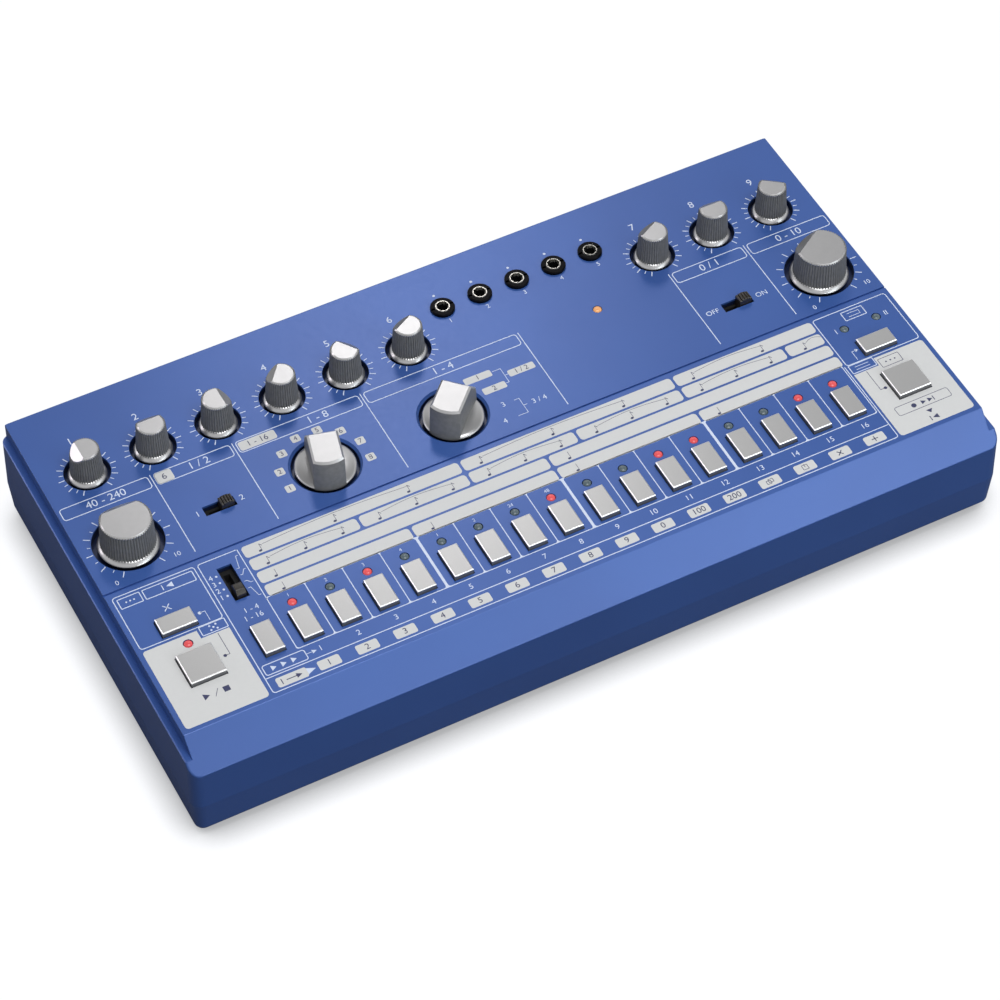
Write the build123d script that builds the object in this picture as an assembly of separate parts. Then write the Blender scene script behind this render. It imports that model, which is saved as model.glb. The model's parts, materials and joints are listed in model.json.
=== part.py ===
"""Desktop drum machine: casing, controls, boards and sockets, each piece its own solid.

X runs along the front to the right, Y runs to the back, Z runs up. Millimetres.
"""
import os
from math import atan, cos, degrees, pi, radians, sin, tan

from build123d import *

os.makedirs("parts", exist_ok=True)

# ---------------------------------------------------------------- casing
case_w = 305.0          # width at the parting line
front_y = -82.5         # front wall at the parting line
back_y = 76.3           # back wall at the parting line
foot_h = 3.0            # feet below the underside
part_z = 17.4           # parting line between the two shells
top_z = 43.8            # printed top face
bevel_drop = 10.6       # front bevel, from the top face down to the front wall
bevel_in = 10.6         # front bevel, from the front wall back to the top face
ledge_drop = 6.1        # step down along both sides
ledge_in = 2.9          # sides of the top face inside the sides at the parting line
wall = 2.5              # wall of both shells
corner_r = 4.2          # upright corners seen from above
wall_lean = 1.45        # draft of the upper walls, degrees
tuck = 1.1              # how far the lower walls lean in at the underside
base_round = 2.0        # rounding of the underside's edge
ledge_ease = 0.35       # eased outer edges of the ledges
step_round = 0.3        # rounding of the top face's side edges
rim_round = 0.5         # rounding of the top face's front and back edges
crease_round = 0.8      # rounding between the front wall and the bevel
groove_w = 0.8          # groove across the top face
groove_d = 0.7
lip_h = 2.0             # locating lip of the lower shell
lip_t = 1.0
lip_gap = 0.25          # play between the lip and the upper shell

# ---------------------------------------------------------------- clearances
slide_gap = 0.3         # button or slider in its opening, each side
shaft_gap = 0.05        # turning stem in its bore, radial
seat_gap = 0.2          # fixed piece in its hole, radial
layer_gap = 0.3         # between stacked faces that don't touch
nut_gap = 0.1           # back nuts off the leaning back wall

# ---------------------------------------------------------------- rows, in from the back wall
jack_row_in = 22.0
small_row_in = 33.3
large_row_in = 67.4
groove_in = 84.7
power_led_in = 47.3

# ---------------------------------------------------------------- rows, in from the front wall
step_row_in = 33.1
step_led_in = 43.5
side_high_in = 52.8
scale_row_in = 59.8
group_led_in = 63.45

# ---------------------------------------------------------------- columns
end_in = 19.5           # end columns, in from the sides
column_count = 12       # even columns that the knobs share
step_first_in = 37.3    # first step button, in from the left end column
step_last_in = 23.2     # last step button, in from the right end column
slider_in = 33.3        # slide switches, in from the end columns
step_count = 16

# ---------------------------------------------------------------- boards
board_t = 1.6
panel_board_drop = 12.8  # component side of the panel board below the top face
panel_board_in = 6.5     # board edges inside the casing's sides
panel_board_front_in = 15.0
panel_board_back_in = 15.8
socket_rise = 6.8        # socket axes above the main board
main_board_in = 16.5
main_board_l = 50.6
main_board_back_in = 3.7

# ---------------------------------------------------------------- fasteners
case_screw_r = 1.5
case_head_r = 2.8
case_head_h = 2.0
case_boss_r = 3.5
case_seat = 6.0         # where the heads bear, above the underside
case_screw_bite = 12.0  # length inside the upper boss
case_screw_in = 10.0    # in from the sides
case_screw_back_in = 9.3
case_screw_front_in = 9.5
mid_screw_x = 32.0
board_screw_r = 1.2
board_head_r = 2.2
board_head_h = 1.6
board_post_r = 3.0
board_screw_len = 7.0
panel_post_in = 32.5    # outer posts, in from the sides
panel_post_front_in = 19.0
panel_post_back_in = 48.3
main_post_in = 16.0     # outer post, in from the left edge of the main board
main_post_right_in = 11.0
main_post_front_in = 8.0
main_post_mid_xs = (-20.0, 75.0)

# ---------------------------------------------------------------- feet
foot_r = 6.0
foot_seat = 0.6         # depth of the recess each foot is glued into
foot_in = 24.5          # in from the sides
foot_front_in = 20.5
foot_back_in = 20.3

# ---------------------------------------------------------------- turning knobs
knob_h = 12.2           # above the top face
knob_sink = 1.2         # rim of the skirt below the top face
recess_depth = 3.8
recess_floor = 1.2
recess_wall = 1.3
stem_r = 2.95
stem_len = 8.5          # from the recess floor down into the control
neck_r = 4.0
neck_h = 1.2
cap_h = 0.9
cap_chamfer = 0.3
facet_slope = 42.0      # pointer facet, degrees below level
rib_bite = 0.28         # depth between the ribs
skirt_rise = 0.6        # top of the skirt above the top face

small_recess_r = 8.1
small_skirt_r = 6.7
small_base_r = 5.7
small_top_r = 4.95
small_chord = 2.0       # axis to the facet's upper edge
small_ribs = 44
small_knobs = [
    ("level_knob_1", 0, -90.0),
    ("level_knob_2", 1, 0.0),
    ("level_knob_3", 2, 90.0),
    ("level_knob_4", 3, -51.0),
    ("level_knob_5", 4, 55.0),
    ("level_knob_6", 5, -28.0),
    ("drive_knob", 9, -28.0),
    ("tone_knob", 10, 0.0),
    ("output_knob", 11, 37.0),
]

large_recess_r = 12.4
large_skirt_r = 10.5
large_base_r = 9.4
large_top_r = 8.75
large_chord = 5.2
large_ribs = 64
large_knobs = [("tempo_knob", 0, 0.0), ("volume_knob", 11, -32.0)]

dial_recess_r = 11.8
dial_bevel = 0.9        # bevelled mouth of the selector recesses
dial_r = 10.7
dial_top_r = 10.05
dial_bar_w = 9.4
dial_bar_foot_w = 10.2
dial_flare_w = 11.2
dial_chord = 3.5
dial_slope = 48.0
dials = [("instrument_selector", 3, 15.0), ("mode_selector", 5, 45.0)]

pot_w = 9.8
pot_l = 11.4
rotary_w = 19.0

# ---------------------------------------------------------------- push buttons
button_rise = 2.0       # above the top face
button_depth = 6.0      # whole height of a cap
button_chamfer = 0.5
button_corner = 0.7
button_skin = 1.3
button_flange = 0.6     # catches under the panel
button_flange_h = 1.0
plunger_r = 1.65
plunger_end = 3.2       # above the panel board
step_w = 7.0
step_l = 12.7
side_w = 12.6           # the buttons at both ends
side_low_l = 12.7
side_high_l = 6.9
tact_w = 6.2
tact_h = 3.4
tact_collar_r = 2.5
tact_collar_h = 1.6
tact_travel_gap = 1.0   # room below the plunger

# ---------------------------------------------------------------- slide switches
slider_rise = 3.0
slot_w = 4.2
slot_l = 11.4
slider_w = 3.6
slider_l = 4.7
slider_travel = 4.9
scale_slot_w = 5.3
scale_slot_l = 15.0
scale_w = 3.4
scale_l = 5.2
scale_travel = 9.0
slide_stem = 2.0
slide_stem_len = 3.6
slide_body_wall = 2.2
rib_w = 0.5
rib_d = 0.45

# ---------------------------------------------------------------- lights
led_r = 1.5
led_rise = 0.5
led_foot_r = 2.0
led_foot_h = 7.4
group_led_dx = 6.45     # both sides of the right end column
power_led_dx = 18.6     # right of the middle panel socket

# ---------------------------------------------------------------- 3.5 mm sockets
jack_bore_r = 1.8
jack_bush_r = 2.8
jack_nut_r = 4.4
jack_nut_h = 1.25
jack_lip = 0.15         # bushing proud of its nut
jack_w = 9.0
jack_l = 10.4
jack_body_h = 9.9
front_jack_column = 7   # the column of the middle panel socket
front_jack_pitch = 14.64
front_jack_count = 5
rear_jack_count = 8
rear_jack_l = 15.0
rear_jack_first_in = 24.0   # from the nearest round socket
rear_jack_last_in = 30.8    # from the large output socket

# ---------------------------------------------------------------- sockets at the back
socket_in = 0.5         # socket faces behind the back wall's inner side
out_reach = 6.2         # end of the large socket's bushing behind the back wall
out_in = 40.5           # in from the left side
out_bore_r = 3.2
out_inner_r = 3.75
out_mouth = 3.5         # length of the guiding mouth
out_depth = 28.0
out_bush_r = 4.75
out_nut_r = 6.9
out_nut_h = 2.3
out_w = 15.0
out_l = 24.5
din_ins = (114.5, 91.5)  # in from the right side
din_w = 19.0
din_h = 18.6
din_l = 12.0
din_face_r = 6.4
din_ring_r = 7.5
din_slot_depth = 8.5
din_pin_r = 0.8
din_pin_depth = 7.5
din_pin_circle = 4.45
usb_in = 67.5
usb_w = 12.0
usb_h = 11.0
usb_l = 16.0
usb_mouth_w = 8.6
usb_mouth_h = 7.9
usb_depth = 9.0
usb_tongue_w = 5.7
usb_tongue_h = 3.2
dc_in = 46.5
dc_w = 9.2
dc_l = 14.0
dc_bore_r = 3.15
dc_collar = 1.2
dc_pin_r = 1.0
dc_depth = 9.5
power_in = 25.5
power_w = 17.0
power_h = 12.0
power_l = 12.0
rocker_r = 5.6
rocker_h = 6.4
rocker_pivot_in = 2.4   # pivot behind the wall's outer face
rocker_tilt = 8.0
bezel_rise = 0.8        # collar of the power switch proud of the back wall
ribbon_w = 30.0
ribbon_t = 0.9
ribbon_x = -60.0
ribbon_in = 36.3        # in from the back wall
plug_h = 3.2            # connectors at both ends of the ribbon
plug_l = 5.0

# ---------------------------------------------------------------- heights and places that follow
half_w = case_w / 2
base_z = foot_h
under_z = top_z - wall
crease_z = top_z - bevel_drop
ledge_z = top_z - ledge_drop
mid_y = (front_y + back_y) / 2
depth = back_y - front_y
lean = tan(radians(wall_lean))
crease_y = front_y + (crease_z - part_z) * lean
top_front_y = front_y + bevel_in
top_back_y = back_y - (top_z - part_z) * lean
top_w = case_w - 2 * ledge_in
ledge_x = half_w - (ledge_z - part_z) * lean
inner_back_y = back_y - wall
panel_board_z = top_z - panel_board_drop
panel_under_z = panel_board_z - board_t
panel_board_front = front_y + panel_board_front_in
panel_board_back = back_y - panel_board_back_in
socket_z = part_z
main_board_z = socket_z - socket_rise
main_under_z = main_board_z - board_t
main_board_w = case_w - 2 * main_board_in
main_board_back = back_y - main_board_back_in
main_board_front = main_board_back - main_board_l
recess_z = top_z - recess_depth
control_top_z = recess_z - recess_floor - layer_gap
cap_z = top_z + button_rise - button_depth
plunger_end_z = panel_board_z + plunger_end
knob_top_z = top_z + knob_h
slide_body_z = under_z - layer_gap
case_seat_z = base_z + case_seat
reach_y = back_y + out_reach
groove_y = back_y - groove_in
small_row_y = back_y - small_row_in
large_row_y = back_y - large_row_in
front_jack_y = back_y - jack_row_in
power_led_y = back_y - power_led_in
step_y = front_y + step_row_in
step_led_y = front_y + step_led_in
side_high_y = front_y + side_high_in
scale_y = front_y + scale_row_in
group_led_y = front_y + group_led_in
end_x = half_w - end_in
columns = [end_x * (2 * n / (column_count - 1) - 1) for n in range(column_count)]
step_pitch = (2 * end_x - step_first_in - step_last_in) / (step_count - 1)
step_xs = [step_first_in - end_x + step_pitch * n for n in range(step_count)]
function_x = step_xs[0] - step_pitch
slider_x = end_x - slider_in
out_x = out_in - half_w
din_xs = [half_w - inset for inset in din_ins]
usb_x = half_w - usb_in
dc_x = half_w - dc_in
power_x = half_w - power_in
rear_jack_x = din_xs[0] - rear_jack_first_in
rear_jack_pitch = (rear_jack_x - out_x - rear_jack_last_in) / (rear_jack_count - 1)


def corners(side_in, front_in, back_in):
    """Four places near the casing's corners, given from its sides, front and back."""
    x = half_w - side_in
    return [(side, y) for y in (back_y - back_in, front_y + front_in) for side in (-x, x)]


case_screw_xy = corners(case_screw_in, case_screw_front_in, case_screw_back_in)
case_screw_xy += [(0.0, front_y + case_screw_front_in), (mid_screw_x, large_row_y)]
foot_xy = corners(foot_in, foot_front_in, foot_back_in)
panel_post_xy = corners(panel_post_in, panel_post_front_in, panel_post_back_in)
panel_post_xy += [(x / 3, y) for x, y in panel_post_xy]
main_post_xs = (main_post_in - main_board_w / 2, *main_post_mid_xs, main_board_w / 2 - main_post_right_in)
main_post_xy = [(x, main_board_front + main_post_front_in) for x in main_post_xs]


def save(shape, name):
    """One file for each piece."""
    export_step(shape, "parts/" + name + ".step")


def block(x, y, w, l, z0, z1):
    """Upright block on a centre point between two heights."""
    return Pos(x, y, (z0 + z1) / 2) * Box(w, l, z1 - z0)


def post(x, y, r, z0, z1):
    """Upright cylinder between two heights."""
    return Pos(x, y, (z0 + z1) / 2) * Cylinder(r, z1 - z0)


def cone(x, y, r0, r1, z0, z1):
    """Upright cone between two heights."""
    return Pos(x, y, (z0 + z1) / 2) * Cone(r0, r1, z1 - z0)


def bar_y(x, z, r, y0, y1):
    """Cylinder lying along Y."""
    return Pos(x, (y0 + y1) / 2, z) * Rot(90, 0, 0) * Cylinder(r, y1 - y0)


def box_y(x, z, w, h, y0, y1):
    """Block given by its face and two depths along Y."""
    return Pos(x, (y0 + y1) / 2, z) * Box(w, y1 - y0, h)


def drawn_in(points, inset):
    """Outline moved inwards by an inset."""
    face = Polygon(*points, align=None)
    if inset == 0:
        return face
    return offset(face, amount=-inset, kind=Kind.INTERSECTION)


def plan(inset, z):
    """Outline of the casing seen from above, drawn in by an inset, at a height."""
    outline = RectangleRounded(case_w - 2 * inset, depth - 2 * inset, max(corner_r - inset, tuck + 0.5))
    return Pos(0, mid_y, z) * outline


def tapered(inset, rise, lean_in):
    """Block on the plan whose walls lean in on their way up or down from the parting line."""
    way = (0, 0, 1 if rise > 0 else -1)
    angle = degrees(atan(lean_in / abs(rise)))
    return extrude(plan(inset, part_z), amount=abs(rise), dir=way, taper=angle)


# ---------------------------------------------------------------- the blanks of the two shells
spare = wall * 2
far_y = front_y - spare
far_z = top_z - (top_front_y - far_y) * bevel_drop / (top_front_y - crease_y)
side_upper = [
    (far_y, part_z - spare),
    (far_y, far_z),
    (top_front_y, top_z),
    (back_y + spare, top_z),
    (back_y + spare, part_z - spare),
]
far_x = half_w + spare
edge_x = ledge_x - ledge_ease
edge_z = ledge_z - (far_x - edge_x)
front_upper = [(far_x, part_z - spare), (far_x, edge_z), (edge_x, ledge_z)]
front_upper += [(top_w / 2, ledge_z), (top_w / 2, top_z)]
front_upper += [(-x, z) for x, z in reversed(front_upper)]


def upper_blank(inset):
    """Upper shell without its hollow, drawn in by an inset: bevelled in front, stepped at the sides."""
    along = extrude(Plane.YZ * drawn_in(side_upper, inset), amount=case_w, both=True)
    across = extrude(Plane.XZ * drawn_in(front_upper, inset), amount=depth * 2, both=True)
    rise = top_z + spare - part_z
    return tapered(inset, rise, rise * lean) & along & across



# ---------------------------------------------------------------- where the controls stand
buttons = [("step_button_%02d" % (n + 1), x, step_y, step_w, step_l) for n, x in enumerate(step_xs)]
buttons += [
    ("function_button", function_x, step_y, step_w, step_l),
    ("clear_button", -end_x, side_high_y, side_w, side_high_l),
    ("start_button", -end_x, step_y, side_w, side_low_l),
    ("group_button", end_x, side_high_y, side_w, side_high_l),
    ("tap_button", end_x, step_y, side_w, side_low_l),
]
led_xy = [(x, step_led_y) for x in step_xs]
led_xy += [
    (-end_x, step_led_y),
    (end_x - group_led_dx, group_led_y),
    (end_x + group_led_dx, group_led_y),
    (columns[front_jack_column] + power_led_dx, power_led_y),
]
front_jack_xs = [
    columns[front_jack_column] + front_jack_pitch * (n - (front_jack_count - 1) / 2)
    for n in range(front_jack_count)
]
rear_jack_xs = [rear_jack_x - rear_jack_pitch * n for n in range(rear_jack_count)]
recesses = [(columns[n], small_row_y, small_recess_r) for _, n, _ in small_knobs]
recesses += [(columns[n], large_row_y, large_recess_r) for _, n, _ in large_knobs]
recesses += [(columns[n], large_row_y, dial_recess_r) for _, n, _ in dials]
sliders = [("voice_slider", -slider_x), ("drive_slider", slider_x)]

# ---------------------------------------------------------------- openings in the back wall
out_y = back_y + wall
back_cuts = [bar_y(x, socket_z, jack_bush_r + seat_gap, inner_back_y - wall, out_y) for x in rear_jack_xs]
back_cuts.append(bar_y(out_x, socket_z, out_bush_r + seat_gap, inner_back_y - wall, out_y))
din_z = main_board_z + din_h / 2
for x in din_xs:
    back_cuts.append(bar_y(x, din_z, din_ring_r + seat_gap, inner_back_y - wall, out_y))
usb_z = main_board_z + usb_h / 2
back_cuts.append(box_y(usb_x, usb_z, usb_w + seat_gap, usb_h + seat_gap, inner_back_y - wall, out_y))
back_cuts.append(bar_y(dc_x, socket_z, dc_bore_r + dc_collar + seat_gap, inner_back_y - wall, out_y))
rocker_gap_w = 2 * (rocker_r + seat_gap) + 2 * wall
back_cuts.append(box_y(power_x, socket_z, rocker_gap_w, rocker_h + 2 * wall, inner_back_y - wall, out_y))

# ---------------------------------------------------------------- upper shell
upper = upper_blank(0)


def long_edges(shape, axis, across, place, z):
    """Long edges along an axis, at a distance across it from the middle and at a height."""
    found = shape.edges().filter_by(lambda e: e.length > depth / 2 and abs(e.center().Z - z) < rim_round)
    return found.filter_by(axis).filter_by(lambda e: abs(getattr(e.center(), across) - place) < rim_round)


front_rounds = [(top_front_y, top_z, rim_round), (crease_y, crease_z, crease_round)]
for place, z, r in [(top_back_y, top_z, rim_round)] + front_rounds:
    upper = fillet(long_edges(upper, Axis.X, "Y", place, z), r)
for side in (-1, 1):
    upper = fillet(long_edges(upper, Axis.Y, "X", side * top_w / 2, top_z), step_round)
upper -= upper_blank(wall)

pads = [post(x, y, r + recess_wall, recess_z - recess_floor, under_z + 0.5) for x, y, r in recesses]
bosses = [post(x, y, case_boss_r, part_z + layer_gap, top_z) for x, y in case_screw_xy]
posts = [post(x, y, board_post_r, panel_board_z, top_z) for x, y in panel_post_xy]
filled = upper_blank(wall / 2)
upper += [piece & filled for piece in pads + bosses + posts]

upper -= block(0, groove_y, case_w, groove_w, top_z - groove_d, top_z + 1)
for x, y, r in recesses:
    upper -= post(x, y, r, recess_z, top_z + 1)
    upper -= post(x, y, neck_r + seat_gap, recess_z - recess_floor - 1, recess_z + 1)
dial_mouth_r = dial_recess_r + dial_bevel
for _, n, _ in dials:
    upper -= cone(columns[n], large_row_y, dial_recess_r, dial_mouth_r, top_z - dial_bevel, top_z)
for _, x, y, w, l in buttons:
    upper -= block(x, y, w + 2 * slide_gap, l + 2 * slide_gap, under_z - 1, top_z + 1)
for x, y in led_xy:
    upper -= post(x, y, led_r + seat_gap, under_z - 1, top_z + 1)
for x in front_jack_xs:
    upper -= post(x, front_jack_y, jack_bush_r + seat_gap, under_z - 1, top_z + 1)
for _, x in sliders:
    upper -= block(x, large_row_y, slot_l, slot_w, under_z - 1, top_z + 1)
upper -= block(function_x, scale_y, scale_slot_w, scale_slot_l, under_z - 1, top_z + 1)
for x, y in case_screw_xy:
    upper -= post(x, y, case_screw_r + shaft_gap, part_z, part_z + case_screw_bite + 1)
board_screw_top = panel_under_z + board_screw_len
for x, y in panel_post_xy:
    upper -= post(x, y, board_screw_r + shaft_gap, panel_board_z - 1, board_screw_top + 0.5)
upper -= back_cuts
save(upper, "top_shell")

# ---------------------------------------------------------------- lower shell
lower = tapered(0, base_z - part_z, tuck)
lower = fillet(lower.faces().sort_by(Axis.Z)[0].edges(), base_round)
lower -= tapered(wall, base_z + wall - part_z, tuck)

lip_out = wall + lip_gap
lip_in = lip_out + lip_t


def ring(inset_out, inset_in, z0, z1):
    """Frame that follows the casing's plan between two insets."""
    outer = extrude(plan(inset_out, z0), amount=z1 - z0)
    return outer - block(0, mid_y, case_w - 2 * inset_in, depth - 2 * inset_in, z0 - 1, z1 + 1)


lip_lean = lip_h * lean
lower += ring(lip_out + lip_lean, lip_in + lip_lean, part_z - lip_h, part_z + lip_h)
lower += ring(wall - tuck / 2, lip_in + lip_lean, part_z - lip_h, part_z - 0.2)
lower += [post(x, y, case_boss_r + 1.5, base_z + 0.5, part_z) for x, y in case_screw_xy]
lower += [post(x, y, board_post_r, base_z + 0.5, main_under_z) for x, y in main_post_xy]
lower = lower & block(0, mid_y, case_w, depth, base_z, part_z + lip_h)
for x, y in case_screw_xy:
    lower -= post(x, y, case_head_r + seat_gap, base_z - 1, case_seat_z)
    lower -= post(x, y, case_screw_r + seat_gap, base_z, part_z + lip_h + 1)
    lower -= post(x, y, case_boss_r + seat_gap, part_z, part_z + lip_h + 1)
for x, y in main_post_xy:
    lower -= post(x, y, board_screw_r + shaft_gap, base_z + 0.8, main_under_z + 1)
for x, y in foot_xy:
    lower -= post(x, y, foot_r + seat_gap, base_z - 1, base_z + foot_seat)
lower -= back_cuts
lower -= [box_y(x, part_z, jack_w, part_z, inner_back_y - wall * 2, inner_back_y) for x in rear_jack_xs]
notch_l = inner_back_y - wall * 2
notches = [(out_x, out_w), (usb_x, usb_w), (dc_x, dc_w), (power_x, power_w)] + [(x, din_w) for x in din_xs]
for x, w in notches:
    lower -= box_y(x, main_board_z + part_z / 2, w + 1, part_z, notch_l, inner_back_y)
save(lower, "bottom_shell")

# ---------------------------------------------------------------- feet and fasteners
feet = [fillet(post(x, y, foot_r, 0, base_z + foot_seat).edges().sort_by(Axis.Z)[0], 0.6) for x, y in foot_xy]
save(Compound(children=feet), "rubber_feet")


def case_screw(x, y):
    """Pan head screw that enters from the underside."""
    head = post(x, y, case_head_r, case_seat_z - case_head_h, case_seat_z)
    shank = post(x, y, case_screw_r, case_seat_z, part_z + case_screw_bite)
    drive = block(x, y, 3.4, 0.7, case_seat_z - case_head_h - 1, case_seat_z - case_head_h + 0.9)
    cross = block(x, y, 0.7, 3.4, case_seat_z - case_head_h - 1, case_seat_z - case_head_h + 0.9)
    return head + shank - drive - cross


def board_screw(x, y, seat, up):
    """Small screw with its head on a board; up is the side its head is on."""
    head = post(x, y, board_head_r, min(seat, seat + up * board_head_h), max(seat, seat + up * board_head_h))
    tip = seat - up * board_screw_len
    return head + post(x, y, board_screw_r, min(seat, tip), max(seat, tip))


save(Compound(children=[case_screw(x, y) for x, y in case_screw_xy]), "case_screws")
short = base_z + 1.0
screws = [board_screw(x, y, panel_under_z, -1) for x, y in panel_post_xy]
screws += [board_screw(x, y, main_board_z, 1) & block(x, y, 9, 9, short, part_z) for x, y in main_post_xy]
save(Compound(children=screws), "board_screws")

# ---------------------------------------------------------------- boards
board_mid = (panel_board_front + panel_board_back) / 2
board_l = panel_board_back - panel_board_front
panel_board = block(0, board_mid, case_w - 2 * panel_board_in, board_l, panel_under_z, panel_board_z)
for x, y in panel_post_xy:
    panel_board -= post(x, y, board_screw_r + seat_gap, panel_under_z - 1, panel_board_z + 1)
for x, y in case_screw_xy:
    panel_board -= post(x, y, case_boss_r + 1, panel_under_z - 1, panel_board_z + 1)
chips = [(-95.0, -20.0, 12.0, 12.0), (-15.0, -25.0, 8.0, 20.0)]
chips += [(60.0, -22.0, 20.0, 8.0), (90.0, 20.0, 8.0, 18.0)]
panel_board += [block(x, y, w, l, panel_under_z - 1.8, panel_under_z) for x, y, w, l in chips]
save(panel_board, "panel_board")

board_mid = (main_board_front + main_board_back) / 2
main_board = block(0, board_mid, main_board_w, main_board_l, main_under_z, main_board_z)
for x, y in main_post_xy:
    main_board -= post(x, y, board_screw_r + seat_gap, main_under_z - 1, main_board_z + 1)
chips = [(0.0, 40.0, 14.0, 14.0), (40.0, 36.0, 10.0, 18.0)]
chips += [(-25.0, 47.0, 16.0, 8.0), (100.0, 40.0, 12.0, 12.0)]
main_board += [block(x, y, w, l, main_board_z, main_board_z + 2.4) for x, y, w, l in chips]
save(main_board, "main_board")

ribbon_y = back_y - ribbon_in
ribbon_top = block(ribbon_x, ribbon_y, ribbon_w, plug_l, panel_under_z - plug_h, panel_under_z)
ribbon_foot = block(ribbon_x, ribbon_y, ribbon_w, plug_l, main_board_z, main_board_z + plug_h)
ribbon = block(ribbon_x, ribbon_y, ribbon_w - 3, ribbon_t, main_board_z + 1, panel_under_z - 1)
save(ribbon + ribbon_top + ribbon_foot, "board_ribbon")

# ---------------------------------------------------------------- controls on the panel board
bore_z = recess_z - stem_len - 0.6


def rotary(x, y, w, l):
    """Control body with a neck and the bore its knob's stem turns in."""
    body = block(x, y, w, l, panel_board_z, control_top_z)
    body += post(x, y, neck_r, control_top_z - 0.5, control_top_z + neck_h)
    return body - post(x, y, stem_r + shaft_gap, bore_z, control_top_z + neck_h + 1)


pots = [rotary(columns[n], small_row_y, pot_w, pot_l) for _, n, _ in small_knobs]
pots += [rotary(columns[n], large_row_y, pot_w, pot_l) for _, n, _ in large_knobs]
save(Compound(children=pots), "potentiometers")
switches = [rotary(columns[n], large_row_y, rotary_w, rotary_w) for _, n, _ in dials]
save(Compound(children=switches), "rotary_switches")


def tact(x, y):
    """Key switch with the bore that its button's plunger enters."""
    body = block(x, y, tact_w, tact_w, panel_board_z, panel_board_z + tact_h)
    body += post(x, y, tact_collar_r, panel_board_z + tact_h - 0.5, panel_board_z + tact_h + tact_collar_h)
    return body - post(x, y, plunger_r + shaft_gap, plunger_end_z - tact_travel_gap, panel_board_z + part_z)


save(Compound(children=[tact(x, y) for _, x, y, _, _ in buttons]), "key_switches")


def led(x, y):
    """Round light on its spacer."""
    foot = post(x, y, led_foot_r, panel_board_z, panel_board_z + led_foot_h)
    stalk = post(x, y, led_r, panel_board_z + led_foot_h, top_z + led_rise - led_r * 0.5)
    dome = Pos(x, y, top_z + led_rise - led_r) * Sphere(led_r)
    dome = dome & block(x, y, led_r * 4, led_r * 4, top_z + led_rise - led_r, top_z + led_r * 3)
    return foot + stalk + dome


save(Compound(children=[led(x, y) for x, y in led_xy]), "leds")

# ---------------------------------------------------------------- 3.5 mm sockets
bush_top = top_z + jack_nut_h + jack_lip


def front_jack(x):
    """Upright socket under the panel."""
    body = block(x, front_jack_y, jack_w, jack_l, panel_board_z, panel_board_z + jack_body_h)
    body += post(x, front_jack_y, jack_bush_r, panel_board_z + jack_body_h - 0.5, bush_top)
    return body - post(x, front_jack_y, jack_bore_r, panel_board_z + 2, bush_top + 1)


def rear_jack(x):
    """Lying socket at the back wall."""
    face = inner_back_y - socket_in
    end = back_y + nut_gap + jack_nut_h + jack_lip
    body = box_y(x, socket_z, jack_w, 2 * (socket_z - main_board_z), face - rear_jack_l, face)
    body += bar_y(x, socket_z, jack_bush_r, face - 0.5, end)
    return body - bar_y(x, socket_z, jack_bore_r, face - rear_jack_l + 2, end + 1)


save(Compound(children=[front_jack(x) for x in front_jack_xs]), "panel_jacks")
save(Compound(children=[rear_jack(x) for x in rear_jack_xs]), "voice_jacks")


def round_nut():
    """Round nut with two key slots, seated on Z = 0."""
    nut = post(0, 0, jack_nut_r, 0, jack_nut_h)
    nut = chamfer(nut.edges().sort_by(Axis.Z)[-1], 0.35)
    nut -= post(0, 0, jack_bush_r + shaft_gap, -1, jack_nut_h + 1)
    return nut - block(0, 0, jack_nut_r * 3, 0.9, jack_nut_h - 0.5, jack_nut_h + 1)


nuts = [Pos(x, front_jack_y, top_z) * round_nut() for x in front_jack_xs]
nuts += [Pos(x, back_y + nut_gap, socket_z) * Rot(-90, 0, 0) * round_nut() for x in rear_jack_xs]
save(Compound(children=nuts), "jack_nuts")

# ---------------------------------------------------------------- large output socket
face = inner_back_y - socket_in
out_body = box_y(out_x, socket_z, out_w, 2 * (socket_z - main_board_z), face - out_l, face)
out_body += bar_y(out_x, socket_z, out_bush_r, face - 0.5, reach_y)
out_body -= bar_y(out_x, socket_z, out_bore_r, reach_y - out_mouth, reach_y + 1)
out_body -= bar_y(out_x, socket_z, out_inner_r, reach_y - out_depth, reach_y - out_mouth)
save(out_body, "output_jack")
nut = extrude(RegularPolygon(out_nut_r, 6), amount=out_nut_h)
nut -= post(0, 0, out_bush_r + shaft_gap, -1, out_nut_h + 1)
save(Pos(out_x, back_y + nut_gap, socket_z) * Rot(-90, 0, 0) * nut, "output_nut")


# ---------------------------------------------------------------- data and power sockets
def din_housing(x):
    """Square housing of a round socket, with its bore."""
    body = box_y(x, din_z, din_w, din_h, face - din_l, face)
    return body - bar_y(x, din_z, din_ring_r, face - din_slot_depth, face + 1)


def din_core(x):
    """Round insert with five holes, seated on the bottom of the housing's bore."""
    core = bar_y(x, din_z, din_face_r, face - din_slot_depth, face)
    for n in range(5):
        turn = radians(n * 45.0)
        px = x + din_pin_circle * cos(turn)
        pz = din_z + din_pin_circle * sin(turn)
        core -= bar_y(px, pz, din_pin_r, face - din_pin_depth, face + 1)
    return core


save(Compound(children=[make(x) for make in (din_housing, din_core) for x in din_xs]), "midi_sockets")

usb_face = back_y - 0.4
usb = box_y(usb_x, usb_z, usb_w, usb_h, usb_face - usb_l, usb_face)
usb -= box_y(usb_x, usb_z, usb_mouth_w, usb_mouth_h, usb_face - usb_depth, usb_face + 1)
usb += box_y(usb_x, usb_z, usb_tongue_w, usb_tongue_h, usb_face - usb_depth - 0.5, usb_face - 1.2)
save(usb, "usb_socket")

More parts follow.
